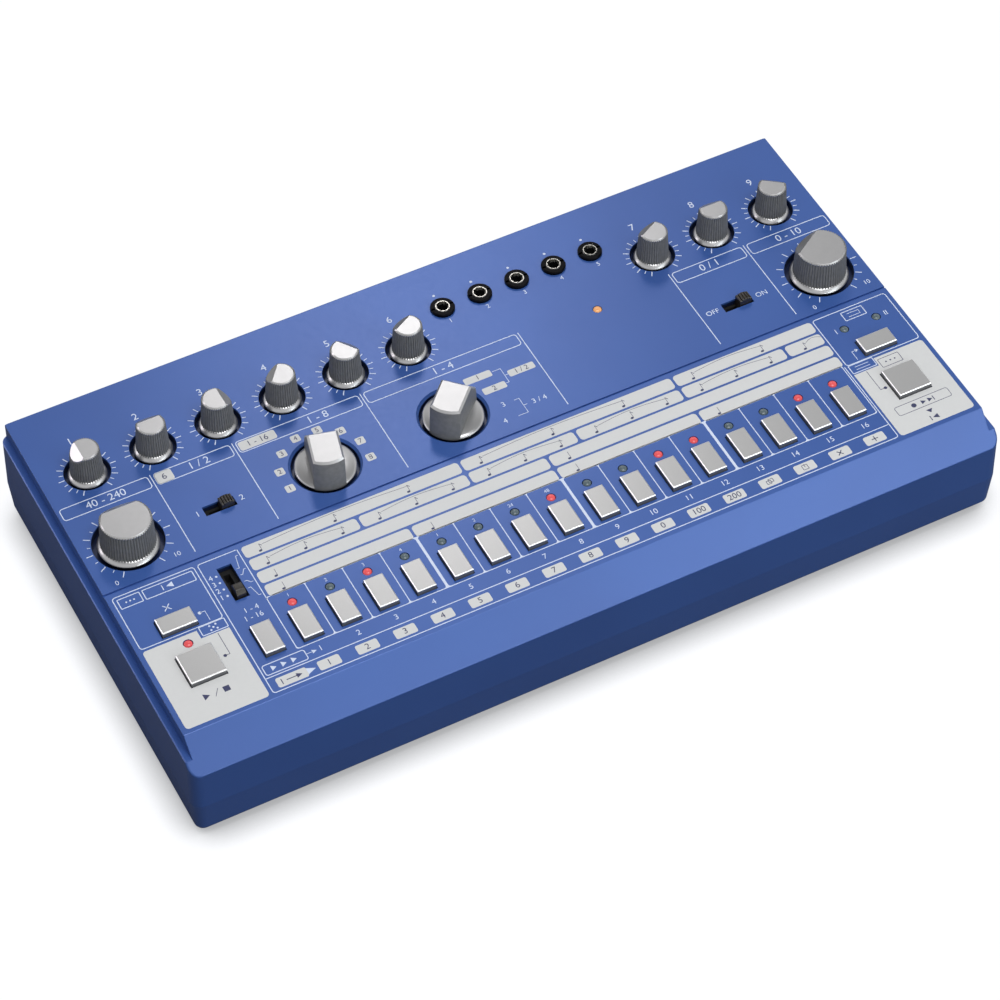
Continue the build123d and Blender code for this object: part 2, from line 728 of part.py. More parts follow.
dc = box_y(dc_x, socket_z, dc_w, 2 * (socket_z - main_board_z), face - dc_l, face)
dc += bar_y(dc_x, socket_z, dc_bore_r + dc_collar, face - 0.5, usb_face)
dc -= bar_y(dc_x, socket_z, dc_bore_r, face - dc_depth, back_y + 1)
dc_pin = bar_y(dc_x, socket_z, dc_pin_r, face - dc_depth, face - 0.5)
save(Compound(children=[dc, dc_pin]), "dc_inlet")

# ---------------------------------------------------------------- power switch
pivot_y = back_y - rocker_pivot_in
switch_face = back_y + bezel_rise
switch = box_y(power_x, socket_z, power_w, power_h, face - power_l, face)
collar_w = rocker_gap_w - 2 * seat_gap
switch += box_y(power_x, socket_z, collar_w, rocker_h + 2 * wall - 2 * seat_gap, face - 0.5, switch_face)
rocker_room = 2 * (rocker_r + seat_gap)
rocker_back = pivot_y - rocker_r - layer_gap
switch -= box_y(power_x, socket_z, rocker_room, rocker_h + 2 * seat_gap, rocker_back, back_y + 2)
save(switch, "power_switch")

rocker = Pos(power_x, pivot_y, socket_z) * Cylinder(rocker_r, rocker_h)
for side in (-1, 1):
    slab = Pos(0, rocker_r * 1.5 + 3.3, 0) * Box(rocker_r * 3, rocker_r * 3, rocker_h * 2)
    rocker -= Pos(power_x, pivot_y, socket_z) * Rot(0, 0, side * rocker_tilt) * slab
rocker = Pos(power_x, pivot_y, 0) * Rot(0, 0, rocker_tilt) * Pos(-power_x, -pivot_y, 0) * rocker
save(rocker, "power_rocker")


# ---------------------------------------------------------------- knobs
def star(r, ribs, z):
    """Ribbed outline at one height."""
    pts = []
    for n in range(ribs * 2):
        turn = n * pi / ribs
        reach = r if n % 2 == 0 else r - rib_bite
        pts.append((reach * cos(turn), reach * sin(turn)))
    return Pos(0, 0, z) * Polygon(*pts, align=None)


def facet_cut(chord, slope, height):
    """Half-space above a facet that falls away along +Y from a chord at a height."""
    big = 60.0
    return Pos(0, chord, height) * Rot(-slope, 0, 0) * Pos(0, big / 2, big / 2) * Box(big, big, big)


def ribbed_knob(skirt_r, base_r, top_r, chord, ribs):
    """Skirt, ribbed grip, cap with a pointer facet, and the stem below."""
    rim = top_z - knob_sink
    skirt_top = top_z + skirt_rise
    grip_top = knob_top_z - cap_h
    grip = loft([star(base_r, ribs, skirt_top - 0.4), star(top_r, ribs, grip_top)], ruled=True)
    skirt = cone(0, 0, skirt_r, base_r, rim + 0.5, skirt_top) + post(0, 0, skirt_r, rim, rim + 0.5)
    cap = post(0, 0, top_r - 0.12, grip_top, knob_top_z)
    cap = chamfer(cap.edges().sort_by(Axis.Z)[-1], cap_chamfer)
    stem = post(0, 0, stem_r, recess_z - stem_len, rim)
    return grip + skirt + cap + stem - facet_cut(chord, facet_slope, knob_top_z)


def dial_knob():
    """Silver disc with a bar grip, sloping towards its pointer end."""
    rim = top_z - knob_sink
    disc_top = top_z + 0.7
    disc = post(0, 0, dial_r, rim, rim + 0.9) + cone(0, 0, dial_r, dial_r - 1.3, rim + 0.9, disc_top)
    outline = [
        (-dial_flare_w / 2, disc_top),
        (-dial_bar_foot_w / 2, disc_top + 3.0),
        (-dial_bar_w / 2, knob_top_z),
        (dial_bar_w / 2, knob_top_z),
        (dial_bar_foot_w / 2, disc_top + 3.0),
        (dial_flare_w / 2, disc_top),
        (dial_flare_w / 2, rim + 0.2),
        (-dial_flare_w / 2, rim + 0.2),
    ]
    bar = extrude(Plane.XZ * Polygon(*outline, align=None), amount=dial_r * 2, both=True)
    bar = bar & cone(0, 0, dial_r, dial_top_r, rim, knob_top_z)
    bar -= facet_cut(dial_chord, dial_slope, knob_top_z)
    stem = post(0, 0, stem_r, recess_z - stem_len, rim)
    return disc + bar + stem


for name, n, pointer in small_knobs:
    knob = ribbed_knob(small_skirt_r, small_base_r, small_top_r, small_chord, small_ribs)
    save(Pos(columns[n], small_row_y, 0) * Rot(0, 0, -pointer) * knob, name)
for name, n, pointer in large_knobs:
    knob = ribbed_knob(large_skirt_r, large_base_r, large_top_r, large_chord, large_ribs)
    save(Pos(columns[n], large_row_y, 0) * Rot(0, 0, -pointer) * knob, name)
for name, n, pointer in dials:
    save(Pos(columns[n], large_row_y, 0) * Rot(0, 0, -pointer) * dial_knob(), name)


# ---------------------------------------------------------------- push buttons
def push_button(x, y, w, l):
    """Hollow cap with a catching flange and a plunger."""
    top = top_z + button_rise
    cap = block(x, y, w, l, cap_z, top)
    cap = fillet(cap.edges().filter_by(Axis.Z), button_corner)
    cap = chamfer(cap.faces().sort_by(Axis.Z)[-1].edges(), button_chamfer)
    flange_top = under_z - layer_gap
    cap += block(x, y, w + 2 * button_flange, l + 2 * button_flange, flange_top - button_flange_h, flange_top)
    low = min(cap_z, flange_top - button_flange_h)
    cap -= block(x, y, w - 2 * button_skin, l - 2 * button_skin, low - 1, top - button_skin)
    return cap + post(x, y, plunger_r, plunger_end_z, top - 0.5)


for name, x, y, w, l in buttons:
    save(push_button(x, y, w, l), name)


# ---------------------------------------------------------------- slide switches
def slide_body(x, y, slot_len, travel, turn):
    """Switch housing with the channel that its slider's stem runs in."""
    body_w = slide_stem + 2 * slide_body_wall
    body = Box(slot_len + 2 * slide_body_wall, body_w, slide_body_z - panel_board_z)
    body = Pos(0, 0, (slide_body_z + panel_board_z) / 2) * body
    channel = Box(travel + slide_stem + 2 * slide_gap, slide_stem + slide_gap, slide_stem_len * 2 + 1)
    body -= Pos(0, 0, slide_body_z) * channel
    return Pos(x, y, 0) * Rot(0, 0, turn) * body


def slider(x, y, l, w, turn):
    """Ribbed finger piece with its stem."""
    foot = slide_body_z + layer_gap
    top = top_z + slider_rise
    piece = Pos(0, 0, (foot + top) / 2) * Box(l, w, top - foot)
    piece = chamfer(piece.faces().sort_by(Axis.Z)[-1].edges(), 0.25)
    for n in range(4):
        piece -= Pos((n - 1.5) * l / 4.4, 0, top) * Box(rib_w, w * 2, rib_d * 2)
    stem = Pos(0, 0, foot - slide_stem_len / 2) * Box(slide_stem, slide_stem, slide_stem_len)
    return Pos(x, y, 0) * Rot(0, 0, turn) * (piece + stem)


bodies = [slide_body(x, large_row_y, slot_l, slider_travel, 0) for _, x in sliders]
bodies.append(slide_body(function_x, scale_y, scale_slot_l, scale_travel, 90))
save(Compound(children=bodies), "slide_switches")
for name, x in sliders:
    save(slider(x + slider_travel / 2, large_row_y, slider_l, slider_w, 0), name)
save(slider(function_x, scale_y - scale_travel / 2, scale_l, scale_w, 90), "scale_slider")
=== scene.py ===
"""Dresses a desktop drum machine: painted casing, printed panel, knobs, buttons, lights and sockets."""

import json
from math import atan2, cos, pi, radians, sin

import bmesh
import bpy
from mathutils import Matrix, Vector


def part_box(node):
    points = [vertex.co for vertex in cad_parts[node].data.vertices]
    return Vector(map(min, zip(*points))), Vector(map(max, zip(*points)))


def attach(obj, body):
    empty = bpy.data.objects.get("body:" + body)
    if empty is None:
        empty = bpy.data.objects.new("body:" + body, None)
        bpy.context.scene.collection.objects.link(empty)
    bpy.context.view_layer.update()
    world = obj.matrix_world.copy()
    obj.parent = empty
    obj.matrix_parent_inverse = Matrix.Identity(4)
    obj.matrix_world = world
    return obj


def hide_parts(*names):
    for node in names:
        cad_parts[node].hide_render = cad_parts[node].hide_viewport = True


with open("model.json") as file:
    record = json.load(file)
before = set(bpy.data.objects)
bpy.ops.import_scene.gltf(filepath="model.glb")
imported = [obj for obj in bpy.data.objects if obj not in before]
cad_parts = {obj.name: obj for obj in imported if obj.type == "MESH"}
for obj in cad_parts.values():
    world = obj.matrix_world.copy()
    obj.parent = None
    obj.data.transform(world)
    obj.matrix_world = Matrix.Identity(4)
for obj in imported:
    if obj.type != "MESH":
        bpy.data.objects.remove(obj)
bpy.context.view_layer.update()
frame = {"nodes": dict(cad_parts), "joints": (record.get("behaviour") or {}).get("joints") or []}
NODES = frame["nodes"]
JOINTS = {joint["child"]: joint for joint in frame["joints"]}
MM = 0.001

bl_info = {
    "name": "Drum Machine",
    "version": (1, 0, 0),
    "blender": (4, 5, 0),
    "location": "3D View > Sidebar > Drum Machine",
    "description": "Finishes, prints and controls for a desktop drum machine",
    "category": "Object",
}


# ---------------------------------------------------------------- places taken from the frame, in mm
def middle(node):
    """Centre of a CAD node in mm."""
    low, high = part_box(node)
    return (low + high) / 2 / MM


def size(node):
    """Width, depth and height of a CAD node in mm."""
    low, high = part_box(node)
    return (high - low) / MM


TOP_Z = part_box("top_shell")[1].z / MM
BACK_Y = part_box("top_shell")[1].y / MM
BEVEL_DEPTH = 10.6
TOP_FRONT_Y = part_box("top_shell")[0].y / MM + BEVEL_DEPTH
STEPS = [f"step_button_{n:02d}" for n in range(1, 17)]
STEP_XS = [middle(node).x for node in STEPS]
PITCH = STEP_XS[1] - STEP_XS[0]
SMALL_KNOBS = [f"level_knob_{n}" for n in range(1, 7)] + ["drive_knob", "tone_knob", "output_knob"]
LARGE_KNOBS = ["tempo_knob", "volume_knob"]
SELECTORS = {"instrument_selector": 0.0, "mode_selector": 90.0}
LARGE_Y = middle("tempo_knob").y
END_X = middle("tap_button").x
COLUMN = 2 * END_X / 11
SCALE_X = middle("function_button").x
SLIDER_X = 99.7
JACK_Y = middle("panel_jacks").y
JACK_PITCH = 14.64
JACK_XS = [middle("panel_jacks").x + JACK_PITCH * n for n in (-2, -1, 0, 1, 2)]
LED_Y = -39.0
GROUP_LED_Y = -19.05
GROUP_LED_DX = 6.45
POWER_LED = (JACK_XS[2] + 18.6, 29.0)
LIT_STEPS = (1, 3, 8, 11, 12, 15, 16)
STEM_HEIGHT = 3.3    # stem below a slide switch's finger
CAPITALS = 0.72      # height of a capital as a share of the type size


def column(n):
    """Place of one of the twelve even columns."""
    return COLUMN * n - END_X


def pointer(node):
    """Angle that a knob points at, clockwise from the back, in degrees."""
    low, high = JOINTS[node + "_body"]["range_deg"]
    return (low + high) / 2 + SELECTORS.get(node, 0.0)


# ---------------------------------------------------------------- settings
def linear(code):
    """Linear colour of an sRGB hex value."""
    parts = [int(code[n:n + 2], 16) / 255 for n in (1, 3, 5)]
    return [p / 12.92 if p <= 0.04045 else ((p + 0.055) / 1.055) ** 2.4 for p in parts] + [1.0]


def length(name, mm, description):
    """Length property with its default in mm."""
    return bpy.props.FloatProperty(
        name=name, description=description, default=mm * MM, min=0.0, unit="LENGTH"
    )


def colour(name, code, description):
    """Colour property with its default as an sRGB hex value."""
    return bpy.props.FloatVectorProperty(
        name=name, description=description, default=linear(code),
        size=4, min=0.0, max=1.0, subtype="COLOR",
    )


def angle(name, degrees, description):
    """Angle property with its default in degrees."""
    return bpy.props.FloatProperty(
        name=name, description=description, default=radians(degrees), subtype="ANGLE"
    )


class CasingSettings(bpy.types.PropertyGroup):
    paint: colour("Paint", "#3A5DA4", "Colour of the casing")
    paint_deep: colour("Deep paint", "#38599E", "Darker tone in the casing's mottle")
    # Painted shade: the near black colour painted into the holes and wells under the panel's top.
    bare: colour("Bare moulding", "#1A2648", "Unpainted moulding inside holes and wells")
    grain: length("Grain", 0.45, "Spacing of the moulded grain")
    grain_depth: length("Grain depth", 0.008, "Depth of the moulded grain")


class PrintSettings(bpy.types.PropertyGroup):
    light_ink: colour("Light ink", "#D2D3D3", "Ink of the plates and bars")
    line_ink: colour("Line ink", "#D3DDF2", "Ink of lines and numerals")
    dark_ink: colour("Dark ink", "#34385C", "Ink of the marks on light plates")
    thickness: length("Ink thickness", 0.04, "Height of one layer of ink")
    line: length("Line", 0.33, "Width of a printed line")
    fine_line: length("Fine line", 0.2, "Width of a fine printed line")
    thick_line: length("Thick line", 0.95, "Width of the lines between groups of four steps")


class KnobSettings(bpy.types.PropertyGroup):
    grip: colour("Grip", "#7E7E7C", "Colour of the ribbed grips")
    metal: colour("Metal", "#B0B0B1", "Colour of the caps and skirts")
    small_base: length("Small base", 5.7, "Radius of a small grip at its foot")
    small_top: length("Small top", 4.95, "Radius of a small grip at its top")
    small_chord: length("Small chord", 2.0, "Axis to the pointer facet of a small knob")
    large_base: length("Large base", 9.4, "Radius of a large grip at its foot")
    large_top: length("Large top", 8.75, "Radius of a large grip at its top")
    large_chord: length("Large chord", 5.2, "Axis to the pointer facet of a large knob")
    slope: angle("Slope", 42.0, "Fall of the pointer facet")
    cap: length("Cap", 0.32, "Metal cap above the grip")
    lap: length("Lap", 0.55, "Metal cap between the ribs, below their tops")
    rib: length("Rib", 0.42, "Depth between two ribs")
    chamfer: length("Chamfer", 0.55, "Chamfer round the metal caps")
    sink: length("Sink", 1.2, "Rim of the skirt below the panel")
    stem: length("Stem", 2.95, "Radius of the stem")


class SelectorSettings(bpy.types.PropertyGroup):
    bar_top: length("Bar top", 10.8, "Width of the bar at its top")
    bar_foot: length("Bar foot", 11.0, "Width of the bar where it meets the disc")
    top_radius: length("Top radius", 10.05, "Radius of the bar's round ends at the top")
    chord: length("Chord", 3.5, "Axis to the pointer facet")
    chamfer: length("Chamfer", 0.7, "Chamfer round the metal plate")
    slope: angle("Slope", 48.0, "Fall of the pointer facet")


class ButtonSettings(bpy.types.PropertyGroup):
    paint: colour("Paint", "#B4B4B4", "Silver paint of the push buttons")
    flange: length("Flange", 0.6, "Flange under the panel, each side")
    flange_height: length("Flange height", 1.0, "Thickness of the flange")
    chamfer: length("Chamfer", 0.33, "Chamfer round the top")
    # Painted highlight: a near white colour on the chamfer round the top.
    edge: colour("Edge", "#E6E6E6", "Polished chamfer of the push buttons")
    # Painted shade: a dark grey colour on the sides.
    side: colour("Side", "#66676A", "Bare moulding on the sides of the push buttons")
    slider: colour("Slider", "#28231D", "Colour of the slide switches")


class LightSettings(bpy.types.PropertyGroup):
    lit: colour("Lit", "#C8484C", "Colour of a lit step light")
    unlit: colour("Unlit", "#58686F", "Colour of a dark light")
    power: colour("Power", "#D89A62", "Colour of the power light")
    radius: length("Radius", 1.5, "Radius of a light")
    foot: length("Foot", 2.0, "Radius of a light's spacer")
    rise: length("Rise", 0.5, "Top of a light above the panel")


class StageSettings(bpy.types.PropertyGroup):
    floor: colour("Floor", "#F4F4F4", "Colour of the floor")
    azimuth: angle("Azimuth", 27.562, "Turn of the camera to the left")
    elevation: angle("Elevation", 50.290, "Height angle of the camera")
    place: bpy.props.FloatVectorProperty(
        name="Place", description="Place of the camera", default=(-0.376171, -0.723222, 0.982428),
        unit="LENGTH",
    )
    lens: bpy.props.FloatProperty(
        name="Lens", description="Focal length on a 36 mm wide sensor", default=131.303
    )


# ---------------------------------------------------------------- materials
def node(tree, kind, sockets=None, out=0, **settings):
    """Adds one shader node and gives one output of it; sockets maps its inputs to values or to outputs."""
    made = tree.nodes.new("ShaderNode" + kind)
    for name, value in settings.items():
        setattr(made, name, value)
    for name, value in (sockets or {}).items():
        if isinstance(value, bpy.types.NodeSocket):
            tree.links.new(value, made.inputs[name])
        else:
            made.inputs[name].default_value = value
    return made.outputs[out]


def surfaced(name, **values):
    """Material with one Principled surface and constant values on its sockets."""
    made = bpy.data.materials.new(name)
    made.use_nodes = True
    surface = made.node_tree.nodes["Principled BSDF"]
    for socket, value in values.items():
        surface.inputs[socket.replace("_", " ").title().replace("Ior", "IOR")].default_value = value
    return made, made.node_tree, surface


def noise(tree, spacing):
    """Noise on object coordinates with features about one spacing in mm apart."""
    coords = node(tree, "TexCoord", out="Object")
    return node(tree, "TexNoise", {"Vector": coords, "Scale": 1 / (spacing * MM)})


def mottled(tree, surface, dark, light, spacing, low=0.35, high=0.65):
    """Base colour that drifts between two tones."""
    drift = node(tree, "MapRange", {"Value": noise(tree, spacing), "From Min": low, "From Max": high})
    tones = node(tree, "Mix", {0: drift, 6: dark, 7: light}, 2, data_type="RGBA")
    tree.links.new(tones, surface.inputs["Base Color"])
    return tones


def roughened(tree, surface, spacing, low, high):
    """Roughness that drifts between two values."""
    drift = node(tree, "MapRange", {"Value": noise(tree, spacing), "To Min": low, "To Max": high})
    tree.links.new(drift, surface.inputs["Roughness"])


def grained(tree, surface, spacing, depth):
    """Fine relief with a spacing and a depth in mm."""
    relief = node(tree, "Bump", {"Height": noise(tree, spacing), "Distance": depth * MM, "Strength": 1.0})
    tree.links.new(relief, surface.inputs["Normal"])


def tone(shade, factor):
    """A colour made darker or lighter."""
    return [min(1.0, part * factor) for part in shade[:3]] + [1.0]


def coated(name, shade, dark, spacing, rough, grain=None, **values):
    """Finish that drifts between a shade and a darker tone of it, in roughness too, with a fine grain."""
    made, tree, surface = surfaced(name, **values)
    mottled(tree, surface, tone(shade, dark), shade, spacing)
    roughened(tree, surface, *rough)
    if grain:
        grained(tree, surface, *grain)
    return made


def casing_paint(settings):
    """Satin painted ABS with a little flake: blue and finely grained, with painted shade: near black below
    the panel's top in the holes and wells.
    """
    made, tree, surface = surfaced("Painted ABS, blue", metallic=0.18, specular_ior_level=0.5)
    paint = mottled(tree, surface, list(settings.paint_deep), list(settings.paint), 60.0)
    # Painted shade: below the top's skin and inside the side and back walls, the paint gives way to a near
    # black that stands in for the shade in holes and wells.
    side_wall, back_wall, skin = 3.6, 1.2, 0.85
    half_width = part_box("top_shell")[1].x - side_wall * MM
    half_depth = ((BACK_Y - TOP_FRONT_Y) / 2 - back_wall) * MM
    coords = node(tree, "TexCoord", out="Object")
    height = node(tree, "SeparateXYZ", {0: coords}, 2)
    inside = node(tree, "Math", {0: height, 1: (TOP_Z - skin) * MM}, operation="LESS_THAN")
    for axis, centre, reach in ((0, 0.0, half_width), (1, (BACK_Y + TOP_FRONT_Y) / 2 * MM, half_depth)):
        place = node(tree, "SeparateXYZ", {0: coords}, axis)
        near = node(tree, "Math", {0: place, 1: centre, 2: reach}, operation="COMPARE")
        inside = node(tree, "Math", {0: inside, 1: near}, operation="MULTIPLY")
    tones = node(tree, "Mix", {0: inside, 6: paint, 7: list(settings.bare)}, 2, data_type="RGBA")
    tree.links.new(tones, surface.inputs["Base Color"])
    roughened(tree, surface, 1.2, 0.27, 0.34)
    grained(tree, surface, settings.grain / MM, settings.grain_depth / MM)
    return made


def ink(name, shade):
    """Screen printing ink: matt, opaque, with the faint unevenness of the mesh."""
    return coated(name, shade, 0.985, 1.4, (0.5, 0.5, 0.62))


def grip_plastic(settings):
    """Moulded acetal: dark grey, dull, with a slight bloom between the ribs."""
    return coated("Moulded acetal, dark grey", settings.grip, 0.85, 1.5, (0.8, 0.42, 0.55), (0.25, 0.006))


def satin_metal(settings):
    """Vacuum metallised ABS, satin: pale silver with faint drawn marks."""
    return coated("Metallised ABS, satin", settings.metal, 0.97, 2.5, (2.0, 0.29, 0.32), metallic=0.85)


def silver_paint(settings):
    """Silver lacquer on moulded ABS: pale flake on top, a painted highlight on the chamfer and painted shade
    on the sides.
    """
    made, tree, surface = surfaced("Silver lacquer on ABS")
    paint = mottled(tree, surface, tone(settings.paint, 0.97), settings.paint, 0.35)
    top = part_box("tap_button")[1].z
    # Painted shade: below the chamfer the sides take the dark side colour. Painted highlight: the chamfer
    # takes the near white edge colour, more metallic than the top.
    tones, flake = list(settings.side), 0.1
    height = node(tree, "SeparateXYZ", {0: node(tree, "TexCoord", out="Object")}, 2)
    chamfer = (settings.chamfer + 0.05 * MM, list(settings.edge), 0.9)
    for level, shade, metallic in (chamfer, (0.04 * MM, paint, 0.55)):
        above = node(tree, "Math", {0: height, 1: top - level}, operation="GREATER_THAN")
        tones = node(tree, "Mix", {0: above, 6: tones, 7: shade}, 2, data_type="RGBA")
        flake = node(tree, "Mix", {0: above, 2: flake, 3: metallic})
    tree.links.new(tones, surface.inputs["Base Color"])
    tree.links.new(flake, surface.inputs["Metallic"])
    roughened(tree, surface, 0.6, 0.28, 0.33)
    return made


def black_plastic(name, shade, low, high):
    """Moulded plastic or rubber: mostly near black, with a soft sheen."""
    return coated(name, shade, 0.75, 1.2, (0.8, low, high), (0.3, 0.006))


def plated_metal(name, shade, roughness):
    """Plated brass or steel: bright, with faint drawing marks."""
    return coated(name, shade, 0.88, 1.0, (0.5, roughness, roughness + 0.12), metallic=1.0)


def lens(name, shade, glow):
    """Tinted epoxy: glossy and a little clear, lit from inside where it glows."""
    values = {"roughness": 0.3, "coat_weight": 0.15, "emission_strength": glow, "emission_color": shade}
    made, tree, surface = surfaced(name, **values)
    mottled(tree, surface, tone(shade, 0.8), shade, 0.8)
    return made


def board_laminate():
    """Glass epoxy laminate: green solder mask over faint copper."""
    made, tree, surface = surfaced("Glass epoxy laminate, green", coat_weight=0.4)
    mottled(tree, surface, linear("#123D27"), linear("#1D5A38"), 3.0, low=0.45, high=0.55)
    roughened(tree, surface, 1.5, 0.25, 0.4)
    return made


def bushed_moulding(edge, moulding, plating):
    """Black moulding, and behind a plane across the depth the nickel plated bushing of a socket."""
    made, tree, surface = surfaced("Moulding with nickel bushing")
    depth = node(tree, "SeparateXYZ", {0: node(tree, "TexCoord", out="Object")}, 1)
    plated = node(tree, "Math", {0: depth, 1: edge * MM}, operation="GREATER_THAN")
    worn = node(tree, "MapRange", {"Value": noise(tree, 0.9), "To Min": 0.94, "To Max": 1.0})
    tones = node(tree, "Mix", {0: plated, 6: moulding, 7: plating}, 2, data_type="RGBA")
    dusted = node(tree, "Mix", {0: worn, 6: (0.0, 0.0, 0.0, 1.0), 7: tones}, 2, data_type="RGBA")
    rough = node(tree, "MapRange", {"Value": plated, "To Min": 0.5, "To Max": 0.22})
    for socket, value in (("Base Color", dusted), ("Metallic", plated), ("Roughness", rough)):
        tree.links.new(value, surface.inputs[socket])
    return made


# ---------------------------------------------------------------- modelling helpers
def clear_selection():
    """Nothing selected, in object mode."""
    bpy.ops.object.select_all(action="DESELECT")


def make_active(*objects):
    """Selects only these objects and makes the first one active."""
    clear_selection()
    for item in objects:
        item.select_set(True)
    bpy.context.view_layer.objects.active = objects[0]
    return objects[0]


def pick(test):
    """In edit mode, selects only the vertices that pass a test."""
    work = bmesh.from_edit_mesh(bpy.context.object.data)
    bpy.ops.mesh.select_mode(type="VERT")
    bpy.ops.mesh.select_all(action="DESELECT")
    for corner in work.verts:
        corner.select_set(bool(test(corner)))
    work.select_flush_mode()
    bmesh.update_edit_mesh(bpy.context.object.data)


def turned(x, y, steps, sides=64):
    """Round piece raised from its foot: each step is a radius and a height in mm."""
    r, z = steps[0]
    clear_selection()
    bpy.ops.mesh.primitive_circle_add(
        vertices=sides, radius=r * MM, fill_type="NGON", enter_editmode=True,
        location=(x * MM, y * MM, z * MM),
    )
    return raised(x, y, [(r, r, z) for r, z in steps])


def blocked(x, y, levels):
    """Square-sided piece raised from its foot: each level is a width, a depth and a height in mm."""
    w, l, z = levels[0]
    centre = (x * MM, y * MM, z * MM)
    clear_selection()
    bpy.ops.mesh.primitive_plane_add(size=MM, enter_editmode=True, location=centre)
    bpy.ops.transform.resize(value=(w, l, 1), center_override=centre)
    return raised(x, y, levels)


def raised(x, y, levels):
    """Draws the foot up from level to level."""
    for (w, l, z), (next_w, next_l, next_z) in zip(levels, levels[1:]):
        bpy.ops.mesh.extrude_region_move(TRANSFORM_OT_translate={"value": (0, 0, (next_z - z) * MM)})
        centre = (x * MM, y * MM, next_z * MM)
        bpy.ops.transform.resize(value=(next_w / w, next_l / l, 1), center_override=centre)
    return closed()


def closed():
    """Ends edit mode with faces outwards and the object's place in its mesh."""
    bpy.ops.mesh.select_all(action="SELECT")
    bpy.ops.mesh.remove_doubles(threshold=0.002 * MM)
    bpy.ops.mesh.normals_make_consistent(inside=False)
    bpy.ops.object.mode_set(mode="OBJECT")
    bpy.ops.object.transform_apply(location=True, rotation=True, scale=True)
    return bpy.context.object


def sliced(item, place, normal):
    """Cuts away what lies beyond a plane, given in mm, and closes the cut."""
    make_active(item)
    bpy.ops.object.mode_set(mode="EDIT")
    bpy.ops.mesh.select_all(action="SELECT")
    bpy.ops.mesh.bisect(plane_co=Vector(place) * MM, plane_no=normal, use_fill=True, clear_outer=True)
    return closed()


def modified(item, kind, **settings):
    """Gives a piece one modifier and applies it."""
    make_active(item)
    change = item.modifiers.new(kind.title(), kind)
    for name, value in settings.items():
        setattr(change, name, value)
    bpy.ops.object.modifier_apply(modifier=change.name)
    return item


def eased(item, width, segments=2, limit=28.0):
    """Rounds the sharp edges and shades what is left smooth."""
    modified(item, "BEVEL", width=width * MM, segments=segments, angle_limit=radians(limit))
    return flattened(item)


def smoothed(item, limit):
    """Smooth shading, with edges sharper than a limit in degrees left crisp."""
    make_active(item)
    bpy.ops.object.shade_smooth_by_angle(angle=radians(limit))
    return item


def flattened(item, limit=50.0):
    """Smooth shading that keeps wide faces flat and leaves the turn to the narrow ones."""
    return modified(smoothed(item, limit), "WEIGHTED_NORMAL", keep_sharp=True)


def cut_by(item, tool, operation):
    """Applies a boolean with a tool piece, which is used up."""
    modified(item, "BOOLEAN", operation=operation, solver="EXACT", object=tool)
    bpy.data.objects.remove(tool)
    return item


def joined(items):
    """Several pieces as one object."""
    make_active(*items)
    if len(items) > 1:
        bpy.ops.object.join()
    return bpy.context.object


def copied(item, x, y, turn=0.0):
    """Copy with its own mesh, placed in mm and turned clockwise from above."""
    twin = item.copy()
    twin.data = item.data.copy()
    bpy.context.scene.collection.objects.link(twin)
    twin.location = (x * MM, y * MM, 0)
    twin.rotation_euler = (0, 0, -radians(turn))
    make_active(twin)
    bpy.ops.object.transform_apply(location=True, rotation=True, scale=True)
    return twin


def spread(masters, nodes, metal, grip):
    """Copies the parts of one knob to all of its kind; the grip stands in for the CAD node."""
    for name in nodes:
        place = middle(name)
        for part, master in masters.items():
            item = copied(master, place.x, place.y, pointer(name))
            finish, *replaced = (grip, name) if part == "grip" else (metal,)
            settled(item, f"{name}_{part}", name + "_body", "knob_grey", finish, *replaced)
    used_up(masters)


def used_up(masters):
    """Removes the pieces that the copies were made from."""
    for master in masters.values():
        bpy.data.objects.remove(master)


def settled(item, name, body, slot, material, *nodes):
    """Names a piece, gives it its finish and hands it to the frame."""
    item.name = item.data.name = name
    item.data.materials.clear()
    item.data.materials.append(material)
    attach(item, body)
    if nodes:
        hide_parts(*nodes)
    return item


def refinish(material, *nodes):
    """Gives CAD nodes a finish."""
    for name in nodes:
        for place in NODES[name].material_slots:
            place.material = material


# ---------------------------------------------------------------- printed outlines, in mm on the panel
def arc(x, y, r, start, end, count=6):
    """Points of an arc between two angles in degrees."""
    turns = [radians(start + (end - start) * n / count) for n in range(count + 1)]
    return [(x + r * cos(turn), y + r * sin(turn)) for turn in turns]


def plate(x0, x1, y0, y1, r=1.1):
    """Rounded rectangle."""
    points = arc(x1 - r, y1 - r, r, 0, 90) + arc(x0 + r, y1 - r, r, 90, 180)
    return points + arc(x0 + r, y0 + r, r, 180, 270) + arc(x1 - r, y0 + r, r, 270, 360)


def disc(x, y, r):
    """Round dot."""
    return arc(x, y, r, 0, 345, 23)


def pill(x, y, half_w, half_h, r):
    """Rounded rectangle about a middle."""
    return plate(x - half_w, x + half_w, y - half_h, y + half_h, r)


def outlined(x0, x1, y0, y1, line, r=1.1):
    """Rounded frame as its outer and inner outline."""
    h = line / 2
    inner = plate(x0 + h, x1 - h, y0 + h, y1 - h, max(r - h, 0.05))
    return [plate(x0 - h, x1 + h, y0 - h, y1 + h, r + h), inner]


def arrow(x, y, reach, half):
    """Arrowhead from the middle of its back edge; a negative reach points left."""
    return [(x, y - half), (x, y + half), (x + reach, y)]


def cross(x, y, reach):
    """Two lines of a slanted cross."""
    return [((x - reach, y - side * reach), (x + reach, y + side * reach)) for side in (-1, 1)]


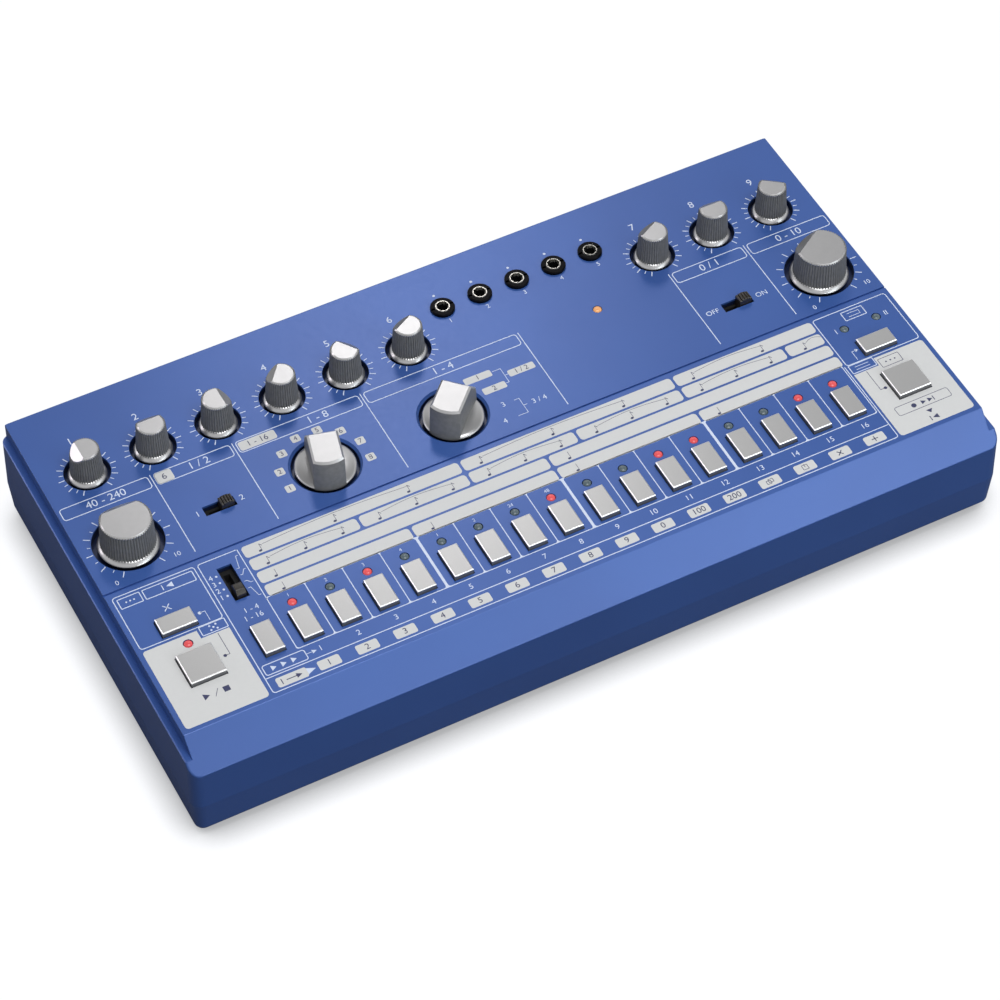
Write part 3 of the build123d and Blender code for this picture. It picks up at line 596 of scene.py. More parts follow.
def stroke(points, line):
    """Polyline with a width, its corners mitred."""
    left, right = [], []
    for n, (x, y) in enumerate(points):
        before = points[max(n - 1, 0)]
        after = points[min(n + 1, len(points) - 1)]
        first = Vector((x - before[0], y - before[1])) if n else Vector((after[0] - x, after[1] - y))
        last = Vector((after[0] - x, after[1] - y)) if n < len(points) - 1 else first
        mean = (first.normalized() + last.normalized()).normalized()
        reach = line / 2 / max(mean.dot(first.normalized()), 0.4)
        left.append((x - mean.y * reach, y + mean.x * reach))
        right.append((x + mean.y * reach, y - mean.x * reach))
    return left + right[::-1]


def printed(name, shapes, material, layer, lift):
    """Prints shapes as one thin mesh; a shape is a list of outlines, where inner ones are holes."""
    made = []
    for loops in shapes:
        flat = bpy.data.curves.new(name, "CURVE")
        flat.dimensions = "2D"
        flat.fill_mode = "BOTH"
        flat.extrude = layer / 2
        for loop in loops:
            spline = flat.splines.new("POLY")
            spline.points.add(len(loop) - 1)
            for point, (x, y) in zip(spline.points, loop):
                point.co = (x * MM, y * MM, 0, 1)
            spline.use_cyclic_u = True
        item = bpy.data.objects.new(name, flat)
        bpy.context.scene.collection.objects.link(item)
        item.location.z = TOP_Z * MM + lift
        made.append(item)
    return laid_down(made, name, material)


def lettered(name, labels, material, layer, lift):
    """Prints numerals as one thin mesh; a label is its text, its middle in mm and its height in mm."""
    made = []
    for text, x, y, height in labels:
        clear_selection()
        bpy.ops.object.text_add(location=(x * MM, y * MM, TOP_Z * MM + lift))
        item = bpy.context.object
        item.data.body = text
        item.data.size = height * MM / CAPITALS
        item.data.align_x = item.data.align_y = "CENTER"
        item.data.extrude = layer / 2
        made.append(item)
    return laid_down(made, name, material)


def laid_down(made, name, material):
    """Turns flat curves or text into one clean mesh on the casing."""
    make_active(*made)
    bpy.ops.object.convert(target="MESH")
    joined(list(bpy.context.selected_objects))
    bpy.ops.object.transform_apply(location=True, rotation=True, scale=True)
    bpy.ops.object.mode_set(mode="EDIT")
    return settled(closed(), name, "case", "casing_blue", material)


# ---------------------------------------------------------------- pieces
class DRUM_OT_casing(bpy.types.Operator):
    """Paints both shells and finishes the pieces inside and at the back"""
    bl_idname = "drum.casing"
    bl_label = "Casing and inner pieces"

    def execute(self, context):
        refinish(casing_paint(context.scene.drum_casing), "top_shell", "bottom_shell")
        refinish(board_laminate(), "panel_board", "main_board")
        # Zinc plate: bluish grey, with a blurred shine.
        refinish(plated_metal("Zinc plated steel", linear("#B5B7BA"), 0.3), "case_screws", "board_screws")
        for name, code, low, high, *nodes in (
            # Bodies of the controls: black, with a faint sheen.
            ("Moulded epoxy, black", "#151517", 0.45, 0.6,
             "potentiometers", "rotary_switches", "key_switches"),
            # Housings down in the slots: black plastic, darkened further to near black as painted shade in
            # the slots, and dull.
            ("Moulded polyamide, dull black", "#060607", 0.8, 0.9, "slide_switches"),
            # Rubber: very dull, a little grey.
            ("Synthetic rubber, black", "#1E1E1F", 0.7, 0.85, "rubber_feet"),
            # Extruded jacket of the ribbon: plain grey, with a faint sheen.
            ("Flat cable, grey", "#7D7F84", 0.45, 0.6, "board_ribbon"),
        ):
            refinish(black_plastic(name, linear(code), low, high), *nodes)
        return {"FINISHED"}


class DRUM_OT_back(bpy.types.Operator):
    """Finishes the sockets, nuts and the power switch at the back"""
    bl_idname = "drum.back"
    bl_label = "Back sockets"

    def execute(self, context):
        black, nickel = linear("#1B1B1D"), linear("#C8C5BD")
        refinish(bushed_moulding(BACK_Y - 0.4, black, nickel), "voice_jacks", "output_jack")
        # Nickel plate: warm and bright. Black nickel: dark, with the same shine.
        refinish(plated_metal("Nickel plated steel", nickel, 0.2), "output_nut", "usb_socket")
        refinish(plated_metal("Black nickel plate", linear("#131315"), 0.28), "jack_nuts")
        # Mouldings of the sockets: black, half dull. The rocker is smoother and shines more.
        moulding = black_plastic("Moulded polyamide, black", black, 0.38, 0.5)
        refinish(moulding, "midi_sockets", "dc_inlet", "power_switch")
        refinish(black_plastic("Moulded rocker, black", linear("#222224"), 0.25, 0.35), "power_rocker")
        return {"FINISHED"}


class DRUM_OT_panel_sockets(bpy.types.Operator):
    """Builds the five sockets in the panel: black bushing with its bore, bright lip and body"""
    bl_idname = "drum.panel_sockets"
    bl_label = "Panel sockets"

    def execute(self, context):
        low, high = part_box("panel_jacks")
        top, foot = high.z / MM, low.z / MM
        body_top = TOP_Z - 3.0
        bore, mouth, bush, step = 1.8, 2.46, 2.8, 0.95
        bushes, lips = [], []
        for x in JACK_XS:
            bushes.append(turned(x, JACK_Y, [
                (bush, body_top - 0.5), (bush, top - 0.2), (bush - 0.15, top - 0.03), (mouth, top - 0.03),
                (mouth, top - step), (bore, top - step), (bore, foot + 2.0),
            ], 48))
            bushes.append(blocked(x, JACK_Y, [(9.0, 10.4, foot), (9.0, 10.4, body_top)]))
            lip = turned(x, JACK_Y, [(mouth - 0.01, top - step + 0.01), (mouth - 0.01, top)], 48)
            cone = turned(x, JACK_Y, [(2.0, top - 1.0), (2.05, top - 0.88), (2.38, top + 0.05)], 8)
            lips.append(cut_by(lip, cone, "DIFFERENCE"))
        # The bushing shines like lacquer, and the lip is a thin bright ring.
        black = black_plastic("Moulded polyamide, gloss black", linear("#131315"), 0.12, 0.2)
        nickel = plated_metal("Nickel plated brass", linear("#A9A7A1"), 0.16)
        for name, parts, slot, finish in (
            ("panel_socket_bushings", bushes, "component_black", black),
            ("panel_socket_lips", lips, "nickel", nickel),
        ):
            settled(smoothed(joined(parts), 25), name, "case", slot, finish, "panel_jacks")
        return {"FINISHED"}


class DRUM_OT_knobs(bpy.types.Operator):
    """Builds the ribbed knobs: skirt and stem, grip and metal cap"""
    bl_idname = "drum.knobs"
    bl_label = "Ribbed knobs"

    def execute(self, context):
        self.shape = shape = context.scene.drum_knob
        finishes = satin_metal(shape), grip_plastic(shape)
        small = shape.small_base, shape.small_top, shape.small_chord
        large = shape.large_base, shape.large_top, shape.large_chord
        for nodes, measures, ribs in ((SMALL_KNOBS, small, 40), (LARGE_KNOBS, large, 58)):
            spread(self.parts(nodes, ribs, *[value / MM for value in measures]), nodes, *finishes)
        return {"FINISHED"}

    def parts(self, nodes, ribs, base, top, chord):
        """Skirt, grip and cap of one size of knob, at the origin."""
        low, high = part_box(nodes[0])
        crown, foot, skirt_r = high.z / MM, low.z / MM, size(nodes[0]).x / 2
        return {
            "skirt": self.skirt(skirt_r, base, foot),
            "grip": self.ribbed(base, top, chord, ribs, crown),
            "cap": self.capped(top, chord, crown),
        }

    def skirt(self, skirt_r, base, foot):
        """Metal skirt ring on its stem; its cone runs on under the ribs."""
        rim = TOP_Z - self.shape.sink / MM
        stem = self.shape.stem / MM
        return smoothed(turned(0, 0, [
            (stem, foot), (stem, rim), (skirt_r - 0.25, rim), (skirt_r, rim + 0.2), (skirt_r, rim + 0.5),
            (skirt_r - 0.12, rim + 0.68), (base + 0.1, TOP_Z + 0.5), (base - 0.4, TOP_Z + 0.75),
        ], 96), 28)

    def ribbed(self, base, top, chord, ribs, crown):
        """Ribbed grip: a tapered round bar, every other pair of edges drawn in, cut below the cap."""
        proud, edges, under_cap = 0.1, ribs * 4, crown - self.shape.cap / MM
        item = turned(0, 0, [(base + proud, TOP_Z + 0.42), (top + proud, under_cap)], edges)
        bpy.ops.object.mode_set(mode="EDIT")
        pick(lambda corner: round(atan2(corner.co.y, corner.co.x) / (2 * pi / edges)) % 4 < 2)
        drawn = 1 - self.shape.rib / MM / base
        bpy.ops.transform.resize(value=(drawn, drawn, 1), center_override=(0, 0, 0))
        closed()
        return self.faceted(item, chord, under_cap)

    def capped(self, top, chord, crown):
        """Cap of one thickness over the top and the pointer facet, chamfered along its rim."""
        under = crown - (self.shape.cap + self.shape.lap) / MM
        c, side = self.shape.chamfer / MM, top - 0.08
        blank = turned(0, 0, [(top - 0.05, crown - 7.0), (side, crown - c), (side - c, crown)], 96)
        item = self.faceted(blank, chord, crown)
        core = self.faceted(turned(0, 0, [(top + 1, crown - 7.5), (top + 1, under)], 32), chord, under)
        return flattened(cut_by(item, core, "DIFFERENCE"), 30.0)

    def faceted(self, item, chord, height):
        """Cuts the pointer facet that falls away behind a chord."""
        slope = self.shape.slope
        return sliced(item, (0, chord, height), (0, sin(slope), cos(slope)))


class DRUM_OT_selectors(bpy.types.Operator):
    """Builds the two selectors: metal disc, grip bar and metal top plate"""
    bl_idname = "drum.selectors"
    bl_label = "Selectors"

    def execute(self, context):
        self.shape = context.scene.drum_selector
        knob = context.scene.drum_knob
        low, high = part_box("mode_selector")
        self.foot, self.crown = low.z / MM, high.z / MM
        self.radius = size("mode_selector").x / 2
        plate_depth = 5.5
        plate = self.bar(0.0, 0.08, self.shape.chamfer / MM)
        masters = {
            "disc": self.disc(knob),
            "grip": eased(self.bar(0.75, 0.0, 0.0), 0.12),
            "plate": flattened(sliced(plate, (0, 0, self.crown - plate_depth), (0, 0, -1)), 30.0),
        }
        spread(masters, SELECTORS, satin_metal(knob), grip_plastic(knob))
        return {"FINISHED"}

    def disc(self, knob):
        """Shallow dished disc on its stem."""
        rim = TOP_Z - knob.sink / MM
        stem, r = knob.stem / MM, self.radius
        return smoothed(turned(0, 0, [
            (stem, self.foot), (stem, rim), (r - 0.2, rim), (r, rim + 0.2), (r, rim + 0.65),
            (r - 0.15, rim + 0.85), (r - 0.5, rim + 1.1), (r - 1.1, rim + 1.3), (r - 4.6, rim + 1.65),
        ], 128), 28)

    def bar(self, drop, inset, chamfer):
        """Bar with round ends that cover the disc's rim, cut by the pointer facet; drop lowers its top."""
        shape = self.shape
        rim, reach = TOP_Z - 1.25, self.radius * 2.2
        foot, top = shape.bar_foot / MM - 2 * inset, shape.bar_top / MM - 2 * inset
        crown = self.crown - drop
        shoulder = crown - chamfer
        item = blocked(0, 0, [(foot, reach, rim), (top, reach, shoulder), (top - 2 * chamfer, reach, crown)])
        end = shape.top_radius / MM - inset
        ends = turned(0, 0, [
            (self.radius + 0.1 - inset, rim - 0.1), (self.radius + 0.08 - inset, TOP_Z - 0.3),
            (end, shoulder), (end - chamfer, crown), (end - chamfer, crown + 1.0),
        ], 128)
        item = cut_by(item, ends, "INTERSECT")
        return sliced(item, (0, shape.chord / MM, crown), (0, sin(shape.slope), cos(shape.slope)))


class DRUM_OT_buttons(bpy.types.Operator):
    """Builds the push buttons"""
    bl_idname = "drum.buttons"
    bl_label = "Push buttons"

    def execute(self, context):
        self.shape = context.scene.drum_button
        finish = silver_paint(self.shape)
        masters = {}
        for name in STEPS + ["function_button", "clear_button", "start_button", "group_button", "tap_button"]:
            extent = size(name)
            key = (round(extent.x, 1), round(extent.y, 1))
            if key not in masters:
                masters[key] = self.cap(name)
            place = middle(name)
            item = copied(masters[key], place.x, place.y)
            settled(item, name + "_cap", name + "_body", "button_grey", finish, name)
        used_up(masters)
        return {"FINISHED"}

    def cap(self, name):
        """Cap with its flange and plunger, chamfered round its top."""
        shape = self.shape
        flange, flange_h = shape.flange / MM, shape.flange_height / MM
        low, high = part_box(name)
        wide, long, _ = size(name)
        w, l = wide - 2 * flange, long - 2 * flange
        top, c, plunger, cap_height = high.z / MM, shape.chamfer / MM, 3.0, 4.8
        under = top - cap_height
        stem_top = under - flange_h
        item = blocked(0, 0, [
            (plunger, plunger, low.z / MM), (plunger, plunger, stem_top), (wide, long, stem_top),
            (wide, long, under), (w, l, under), (w, l, top - c), (w - 2 * c, l - 2 * c, top),
        ])
        return eased(item, 0.08, limit=20.0)


class DRUM_OT_sliders(bpy.types.Operator):
    """Builds the finger pieces of the slide switches"""
    bl_idname = "drum.sliders"
    bl_label = "Slide switches"

    def execute(self, context):
        shape = context.scene.drum_button
        finish = black_plastic("Moulded PBT, black", list(shape.slider), 0.28, 0.4)
        for name in ("voice_slider", "drive_slider", "scale_slider"):
            extent, place = size(name), middle(name)
            foot, top = [corner.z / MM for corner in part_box(name)]
            along_y = extent.y > extent.x
            w, l = sorted((extent.x, extent.y))
            under = foot + STEM_HEIGHT
            stem = [(2.0, 2.0, foot), (2.0, 2.0, under), (l, w, under)]
            item = (self.saddle if along_y else self.finger)(l, w, top, stem)
            twin = copied(item, place.x, place.y, 90.0 if along_y else 0.0)
            settled(twin, name + "_cap", name + "_body", "slider_black", finish, name)
            bpy.data.objects.remove(item)
        return {"FINISHED"}

    def finger(self, l, w, top, stem):
        """Block with rounded ribs across its crowned top."""
        ribs, crown = 5, 0.5
        made, pitch = [blocked(0, 0, stem + [(l, w, top - 1.0)])], l / ribs
        for n in range(ribs):
            peak = top - crown * (2 * n / (ribs - 1) - 1) ** 2
            levels = [(pitch, w, top - 1.05), (pitch, w, peak - 0.4), (pitch * 0.45, w * 0.8, peak)]
            made.append(blocked((n + 0.5) * pitch - l / 2, 0, levels))
        return eased(joined(made), 0.12)

    def saddle(self, l, w, top, stem):
        """Smooth block with sloping ends."""
        crown = [(l, w, top - 1.5), (l * 0.55, w * 0.94, top - 0.15), (l * 0.42, w * 0.8, top)]
        return eased(blocked(0, 0, stem + crown), 0.2, 3)


class DRUM_OT_lights(bpy.types.Operator):
    """Builds the lights: lit and dark step lights and the power light"""
    bl_idname = "drum.lights"
    bl_label = "Lights"

    def execute(self, context):
        shape = context.scene.drum_light
        r, spacer_r, top = shape.radius / MM, shape.foot / MM, TOP_Z + shape.rise / MM
        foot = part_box("leds")[0].z / MM
        shoulder, bulge = foot + 7.4, 0.55 * r
        dome = [(r * cos(a), top - bulge * (1 - sin(a))) for a in [radians(15 * n) for n in range(6)]]
        steps = [(spacer_r, foot), (spacer_r, shoulder), (r, shoulder)] + dome
        lit = [(STEP_XS[n - 1], LED_Y) for n in LIT_STEPS] + [(-END_X, LED_Y)]
        dark = [(x, LED_Y) for n, x in enumerate(STEP_XS, 1) if n not in LIT_STEPS]
        dark += [(END_X + side * GROUP_LED_DX, GROUP_LED_Y) for side in (-1, 1)]
        for name, spots, finish, shade, glow in (
            ("lights_lit", lit, "Tinted epoxy, lit red", shape.lit, 0.5),
            ("lights_dark", dark, "Tinted epoxy, dark", shape.unlit, 0.0),
            ("light_power", [POWER_LED], "Tinted epoxy, lit amber", shape.power, 0.4),
        ):
            item = smoothed(joined([turned(x, y, steps, 32) for x, y in spots]), 40)
            settled(item, name, "case", "light_lens", lens(finish, list(shade), glow), "leds")
        return {"FINISHED"}


# ---------------------------------------------------------------- print
HEADER = (26.65, 31.85)
HEADER_Y = (HEADER[0] + HEADER[1]) / 2
WALLS = (
    -149.3, column(1) - 6.2, column(2), column(4), column(6.53), column(9) + 0.3, column(10) + 6.5, 149.4,
)
WALL_ENDS = (32.0, -5.2)
FIELD_LEFT, FIELD_RIGHT, FIELD_TOP, FIELD_FOOT = -117.0, 117.4, -10.8, -70.0
BAR_TOPS = (-10.7, -16.7, -22.7, -28.7)
BAR_HEIGHT = 5.1
STEP_TOP, STEP_FOOT = -33.7, -57.3
NUMBER_Y, RULE_Y, PILL_Y = -60.5, -63.7, -67.0
SCALE_YS = (-18.1, -21.1, -24.1, -27.1)
DIAL = middle("instrument_selector")
DIAL_PLACES = [
    (DIAL.x + 15.6 * sin(radians(turn)), DIAL.y + 15.6 * cos(radians(turn))) for turn in range(-105, 106, 30)
]
COPY_X, PASTE_X, DELETE_X, INSERT_X = STEP_XS[12:]

# Splits of each bar after these steps, and the steps that carry a note.
ROWS = (
    ((6, 12), (1, 3, 5, 7, 9, 11, 13, 15)),
    ((3, 6, 9, 12, 15), tuple(range(1, 17))),
    ((8,), (1, 9)),
    ((4, 8, 12), (1, 5, 9, 13)),
)

# Frames and plates: left, right, foot, top and corner radius.
END_FRAMES = (
    (-147.7, -118.4, -34.4, FIELD_TOP, 1.1), (118.4, 147.7, -34.4, FIELD_TOP, 1.1),
    (-116.0, -101.0, -62.7, -58.5, 0.8), (-146.4, -138.6, -16.2, -12.1, 0.3),
    (-137.5, -119.6, -16.2, -12.1, 0.3), (129.1, 137.4, -16.1, -12.1, 0.3),
    (-127.4, -118.4, -38.5, -34.7, 0.3), (118.6, 128.0, -38.5, -34.7, 0.3),
)
PLATES = (
    (WALLS[1] + 1.1, WALLS[1] + 7.3, *HEADER, 1.1),
    (WALLS[2] + 1.6, WALLS[2] + 15.2, HEADER[0] + 0.55, HEADER[1] - 0.55, 0.9),
    (-114.4, -103.6, -69.0, -65.0, 0.8), (-2.2, 8.2, 18.4, 21.4, 0.6),
    (1.6, 10.4, 11.5, 14.5, 0.6), (13.2, 23.2, 15.0, 18.0, 0.6),
)

# Signs by kind. Lines and outlines: their points. Arrows: middle of the back edge, reach and half the
# width. Dots: middle and radius. Frames: as above.
LIGHT_SIGNS = {
    "fine": (
        ((8.6, 20.0), (11.8, 20.0), (11.8, 13.2), (10.6, 13.2)),
        ((11.8, 16.6), (13.2, 16.6)),
        ((9.4, 5.0), (11.2, 5.0), (11.2, -2.0), (7.4, -2.0)),
        ((11.2, 1.5), (12.6, 1.5)),
        ((-124.3, -29.3), (-122.6, -29.3), (-122.6, -33.4)),
        ((123.3, -33.6), (123.3, -29.4), (125.0, -29.4)),
        ((-101.0, -60.6), (-98.6, -60.6)),
        ((120.6, -36.0), (126.0, -36.0)),
        ((120.6, -37.3), (126.0, -37.3)),
        ((131.0, -13.3), (135.5, -13.3), (135.5, -14.9), (131.0, -14.9)),
        *(((SCALE_X + 3.4, y), (SCALE_X + 4.3, y), (SCALE_X + 5.3, end), (SCALE_X + 6.1, end))
          for y, end in ((-18.2, -13.1), (-21.1, -19.3), (-24.1, -25.3), (-27.2, -31.4))),
    ),
    "line": (((-130.9, -15.2), (-130.9, -13.0)), *cross(-END_X, -22.3, 1.2)),
    "arrow": (
        (124.6, -29.4, 1.3, 0.7), (-98.8, -60.6, 1.6, 0.8), (-103.6, -67.0, 3.0, 1.3),
        (-127.2, -14.1, -2.4, 1.1),
        *((x, -60.6, 1.8, 1.1) for x in (-113.4, -109.8, -106.2)),
    ),
    "dot": (
        (-124.5, -29.3, 0.6), (-122.9, -36.6, 0.36),
        *((x, y, 0.36) for x in (-124.0, -121.8) for y in (-35.7, -37.5)),
        *((x, -14.15, 0.33) for x in (-143.9, -142.5, -141.1)),
        *((x - 0.05, 61.1, 0.5) for x in JACK_XS),
        *((SCALE_X - 4.0, y, 0.42) for y in SCALE_YS),
    ),
}
DARK_SIGNS = {
    "fine": (
        ((-END_X - 0.9, -62.6), (-END_X + 0.9, -59.8)),
        ((-122.7, -39.6), (-122.7, -49.0), (-124.2, -49.0)),
        ((123.1, -39.6), (123.1, -49.0), (124.8, -49.0)),
        ((PASTE_X, -65.6), (PASTE_X, PILL_Y)),
    ),
    "line": (
        ((137.2, -61.4), (137.2, -59.4)), ((131.6, -69.0), (131.6, -67.0)),
        ((-112.6, -68.1), (-112.6, -65.9)), ((-111.0, PILL_Y), (-107.2, PILL_Y)),
        ((INSERT_X - 1.2, PILL_Y), (INSERT_X + 1.2, PILL_Y)),
        ((INSERT_X, PILL_Y - 1.2), (INSERT_X, PILL_Y + 1.2)),
        *cross(DELETE_X, PILL_Y, 0.9),
    ),
    "arrow": (
        (-END_X - 4.6, -61.2, 2.2, 1.3), (132.4, -60.4, 1.8, 0.9), (135.0, -60.4, 1.8, 0.9),
        (134.6, -68.0, -2.2, 1.0), (-107.4, PILL_Y, 2.0, 1.0),
    ),
    "dot": (
        (-124.4, -49.0, 0.6), (125.0, -49.0, 0.6), (129.4, -60.4, 0.95),
        *((x, -38.7, 0.32) for x in (131.5, 133.25, 135.0)),
    ),
    "frame": (
        (129.2, 137.3, -40.7, -36.7, 0.3), (122.6, 143.6, -62.4, -58.4, 0.8),
        (COPY_X - 1.3, COPY_X + 0.3, -67.9, -66.5, 0.1), (COPY_X - 0.4, COPY_X + 1.3, -67.4, -66.0, 0.1),
        (PASTE_X - 1.0, PASTE_X + 1.0, -68.0, -66.0, 0.1),
    ),
    "outline": (
        ((131.9, -64.2), (134.3, -64.2), (133.1, -65.8)),
        [(x - END_X, y) for x, y in ((2.4, -62.3), (4.6, -62.3), (4.6, -60.1), (2.4, -60.1))],
    ),
}

# Numerals: text, middle and height.
LIGHT_NUMERALS = [
    *((str(n), x, NUMBER_Y, 2.2) for n, x in enumerate(STEP_XS, 1)),
    *((str(n), column(n - 1 if n < 7 else n + 2), 58.0, 3.0) for n in range(1, 10)),
    *((str(n), x, 47.9, 1.9) for n, x in enumerate(JACK_XS, 1)),
    ("40 - 240", (WALLS[0] + WALLS[1]) / 2, HEADER_Y, 3.1), ("1 / 2", WALLS[1] + 17.0, HEADER_Y, 3.1),
    ("1 - 8", WALLS[2] + 31.0, HEADER_Y, 3.1), ("1 - 4", (WALLS[3] + WALLS[4]) / 2, HEADER_Y, 3.1),
    ("0 / 1", (WALLS[5] + WALLS[6]) / 2, HEADER_Y, 3.1), ("0 - 10", (WALLS[6] + WALLS[7]) / 2, HEADER_Y, 3.1),
    *(("0", x - 10.3, LARGE_Y - 14.4, 1.9) for x in (-END_X, END_X)),
    *(("10", x + 12.2, LARGE_Y - 12.3, 1.9) for x in (-END_X, END_X)),
    ("1", -SLIDER_X - 8.0, LARGE_Y, 2.4), ("2", -SLIDER_X + 8.2, LARGE_Y, 2.4),
    ("OFF", SLIDER_X - 9.9, LARGE_Y, 2.1), ("ON", SLIDER_X + 9.8, LARGE_Y, 2.1),
    ("3", 5.2, 4.9, 2.2), ("4", 2.4, -2.0, 2.2), ("3 / 4", 17.3, 1.5, 2.2),
    *((text, SCALE_X - 6.0, y, 2.1) for text, y in zip("4321", SCALE_YS)),
    ("I", END_X - 9.7, GROUP_LED_Y, 2.2), ("II", END_X + 10.4, GROUP_LED_Y, 2.2),
    *((text, x, LED_Y + 3.1, 1.4) for text, x in zip(("1", "2", "3", "4", "1", "2", "24", "48"), STEP_XS)),
    ("1 - 4", SCALE_X + 0.6, -35.4, 2.1), ("1 - 16", SCALE_X, -38.7, 2.1),
]
DARK_NUMERALS = [
    *((str(n), x, y, 2.0) for n, (x, y) in enumerate(DIAL_PLACES, 1)),
    *((text, x, PILL_Y, 2.4) for text, x in zip([*"1234567890", "100", "200"], STEP_XS)),
    ("6", WALLS[1] + 4.2, HEADER_Y, 2.6), ("1 - 16", WALLS[2] + 8.4, HEADER_Y, 2.4),
    ("1", 3.0, 19.9, 2.1), ("2", 6.0, 13.0, 2.1), ("1 / 2", 18.2, 16.5, 2.1),
]


class DRUM_OT_print(bpy.types.Operator):
    """Prints the panel: lines and frames, scales, plates, the rhythm chart and the numerals"""
    bl_idname = "drum.panel_print"
    bl_label = "Panel print"

    def execute(self, context):
        inks = context.scene.drum_print
        self.line, self.fine, self.thick = inks.line / MM, inks.fine_line / MM, inks.thick_line / MM
        light = ink("Screen ink, pale grey", list(inks.light_ink))
        dark = ink("Screen ink, navy", list(inks.dark_ink))
        pale = ink("Screen ink, pale blue", list(inks.line_ink))
        layer = inks.thickness
        on_paint, on_plates = (layer, layer / 2), (layer / 2, layer * 1.25)
        for name, shapes, finish, level in (
            ("print_frames", self.frames(), pale, on_paint),
            ("print_scales", self.scales(), pale, on_paint),
            ("print_plates", self.plates(), light, on_paint),
            ("print_chart", self.chart(), light, on_paint),
            ("print_light_signs", self.signs(LIGHT_SIGNS), pale, on_paint),
            ("print_dark_signs", self.signs(DARK_SIGNS), dark, on_plates),
            ("print_notes", self.notes(), dark, on_plates),
        ):
            printed(name, shapes, finish, *level)
        lettered("print_light_numerals", LIGHT_NUMERALS, pale, *on_paint)
        lettered("print_dark_numerals", DARK_NUMERALS, dark, *on_plates)
        return {"FINISHED"}

    def frames(self):
        """Header frames, upright lines, step lattice and the frames at both ends."""
        line = self.line
        fields = [(left, right) for left, right in zip(WALLS, WALLS[1:]) if left != WALLS[4]]
        shapes = [outlined(left + 1.1, right - 1.1, *HEADER, line) for left, right in fields]
        shapes += [outlined(*sides, line, r) for *sides, r in END_FRAMES]
        shapes.append(self.lattice())
        border = [(-103.0, FIELD_TOP)] + arc(FIELD_LEFT + 1, FIELD_TOP - 1, 1, 90, 180)
        border += arc(FIELD_LEFT + 1, FIELD_FOOT + 1, 1, 180, 270)
        border += arc(FIELD_RIGHT - 1, FIELD_FOOT + 1, 1, 270, 360)
        lines = [[(x, y) for y in WALL_ENDS] for x in WALLS[1:-1]]
        lines += [border + [(FIELD_RIGHT, -34.5)], [(FIELD_LEFT, RULE_Y), (FIELD_RIGHT, RULE_Y)]]
        lines.append([(-102.55, FIELD_TOP), (-102.55, -34.2)])
        return shapes + [[stroke(points, line)] for points in lines]

    def lattice(self):
        """Lines round the sixteen steps: one outer outline with a rounded hole for each step."""
        half, edge, bold = PITCH / 2, self.line / 2, self.thick / 2
        left, right = STEP_XS[0] - half - edge, STEP_XS[-1] + half + edge
        loops = [plate(left, right, STEP_FOOT - edge, STEP_TOP + 0.3, 0.8)]
        for n, x in enumerate(STEP_XS):
            west = bold if n % 4 == 0 and n else edge
            east = bold if n % 4 == 3 and n < 15 else edge
            loops.append(plate(x - half + west, x + half - east, STEP_FOOT + edge, STEP_TOP, 0.9))
        return loops

    def scales(self):
        """Tick marks round the ribbed knobs; every other one is longer and bolder."""
        shapes = []
        for names, inner, outers in ((SMALL_KNOBS, 8.3, (10.4, 9.7)), (LARGE_KNOBS, 12.7, (15.1, 13.8))):
            for place in map(middle, names):
                ticks = []
                for n in range(-10, 11):
                    turn, reach = radians(15.0 * n), (inner, outers[n % 2])
                    ends = [(place.x + r * sin(turn), place.y + r * cos(turn)) for r in reach]
                    ticks.append(stroke(ends, (0.34, 0.27)[n % 2]))
                shapes.append(ticks)
        return shapes

    def plates(self):
        """Light plates and pills."""
        shapes = [[plate(*sides)] for sides in PLATES]
        shapes += [[pill(x, y, 1.65, 1.6, 0.6)] for x, y in DIAL_PLACES]
        shapes += [[pill(x, PILL_Y, 3.9, 1.95, 0.7)] for x in STEP_XS]
        shapes.append(self.end_plate("start_button", -1) + [disc(-END_X, LED_Y, 1.75)])
        return shapes + [self.end_plate("tap_button", 1)]

    def end_plate(self, name, side):
        """Plate round an end button, open at the button and notched at its inner upper corner."""
        left, right, foot, top, r = 118.4, 147.8, -70.3, -35.5, 1.3
        notch_x, notch_y, overlap = 128.4, -39.1, 0.3
        outline = arc(right - r, top - r, r, 0, 90) + [(notch_x, top), (notch_x, notch_y), (left, notch_y)]
        outline += arc(left + r, foot + r, r, 180, 270) + arc(right - r, foot + r, r, 270, 360)
        place, room = middle(name), size(name) / 2
        opening = pill(place.x, place.y, room.x - overlap, room.y - overlap, 0.1)
        return [[(side * x, y) for x, y in outline], opening]

    def chart(self):
        """Light bars that group the steps in four ways."""
        left, right = STEP_XS[0] - 6.1, STEP_XS[-1] + 8.2
        shapes = []
        for top, (splits, _) in zip(BAR_TOPS, ROWS):
            edges = [left] + [STEP_XS[n - 1] + PITCH / 2 for n in splits] + [right]
            for start, end in zip(edges, edges[1:]):
                shapes.append([plate(start + 0.5, end - 0.5, top - BAR_HEIGHT, top, 1.3)])
        return shapes

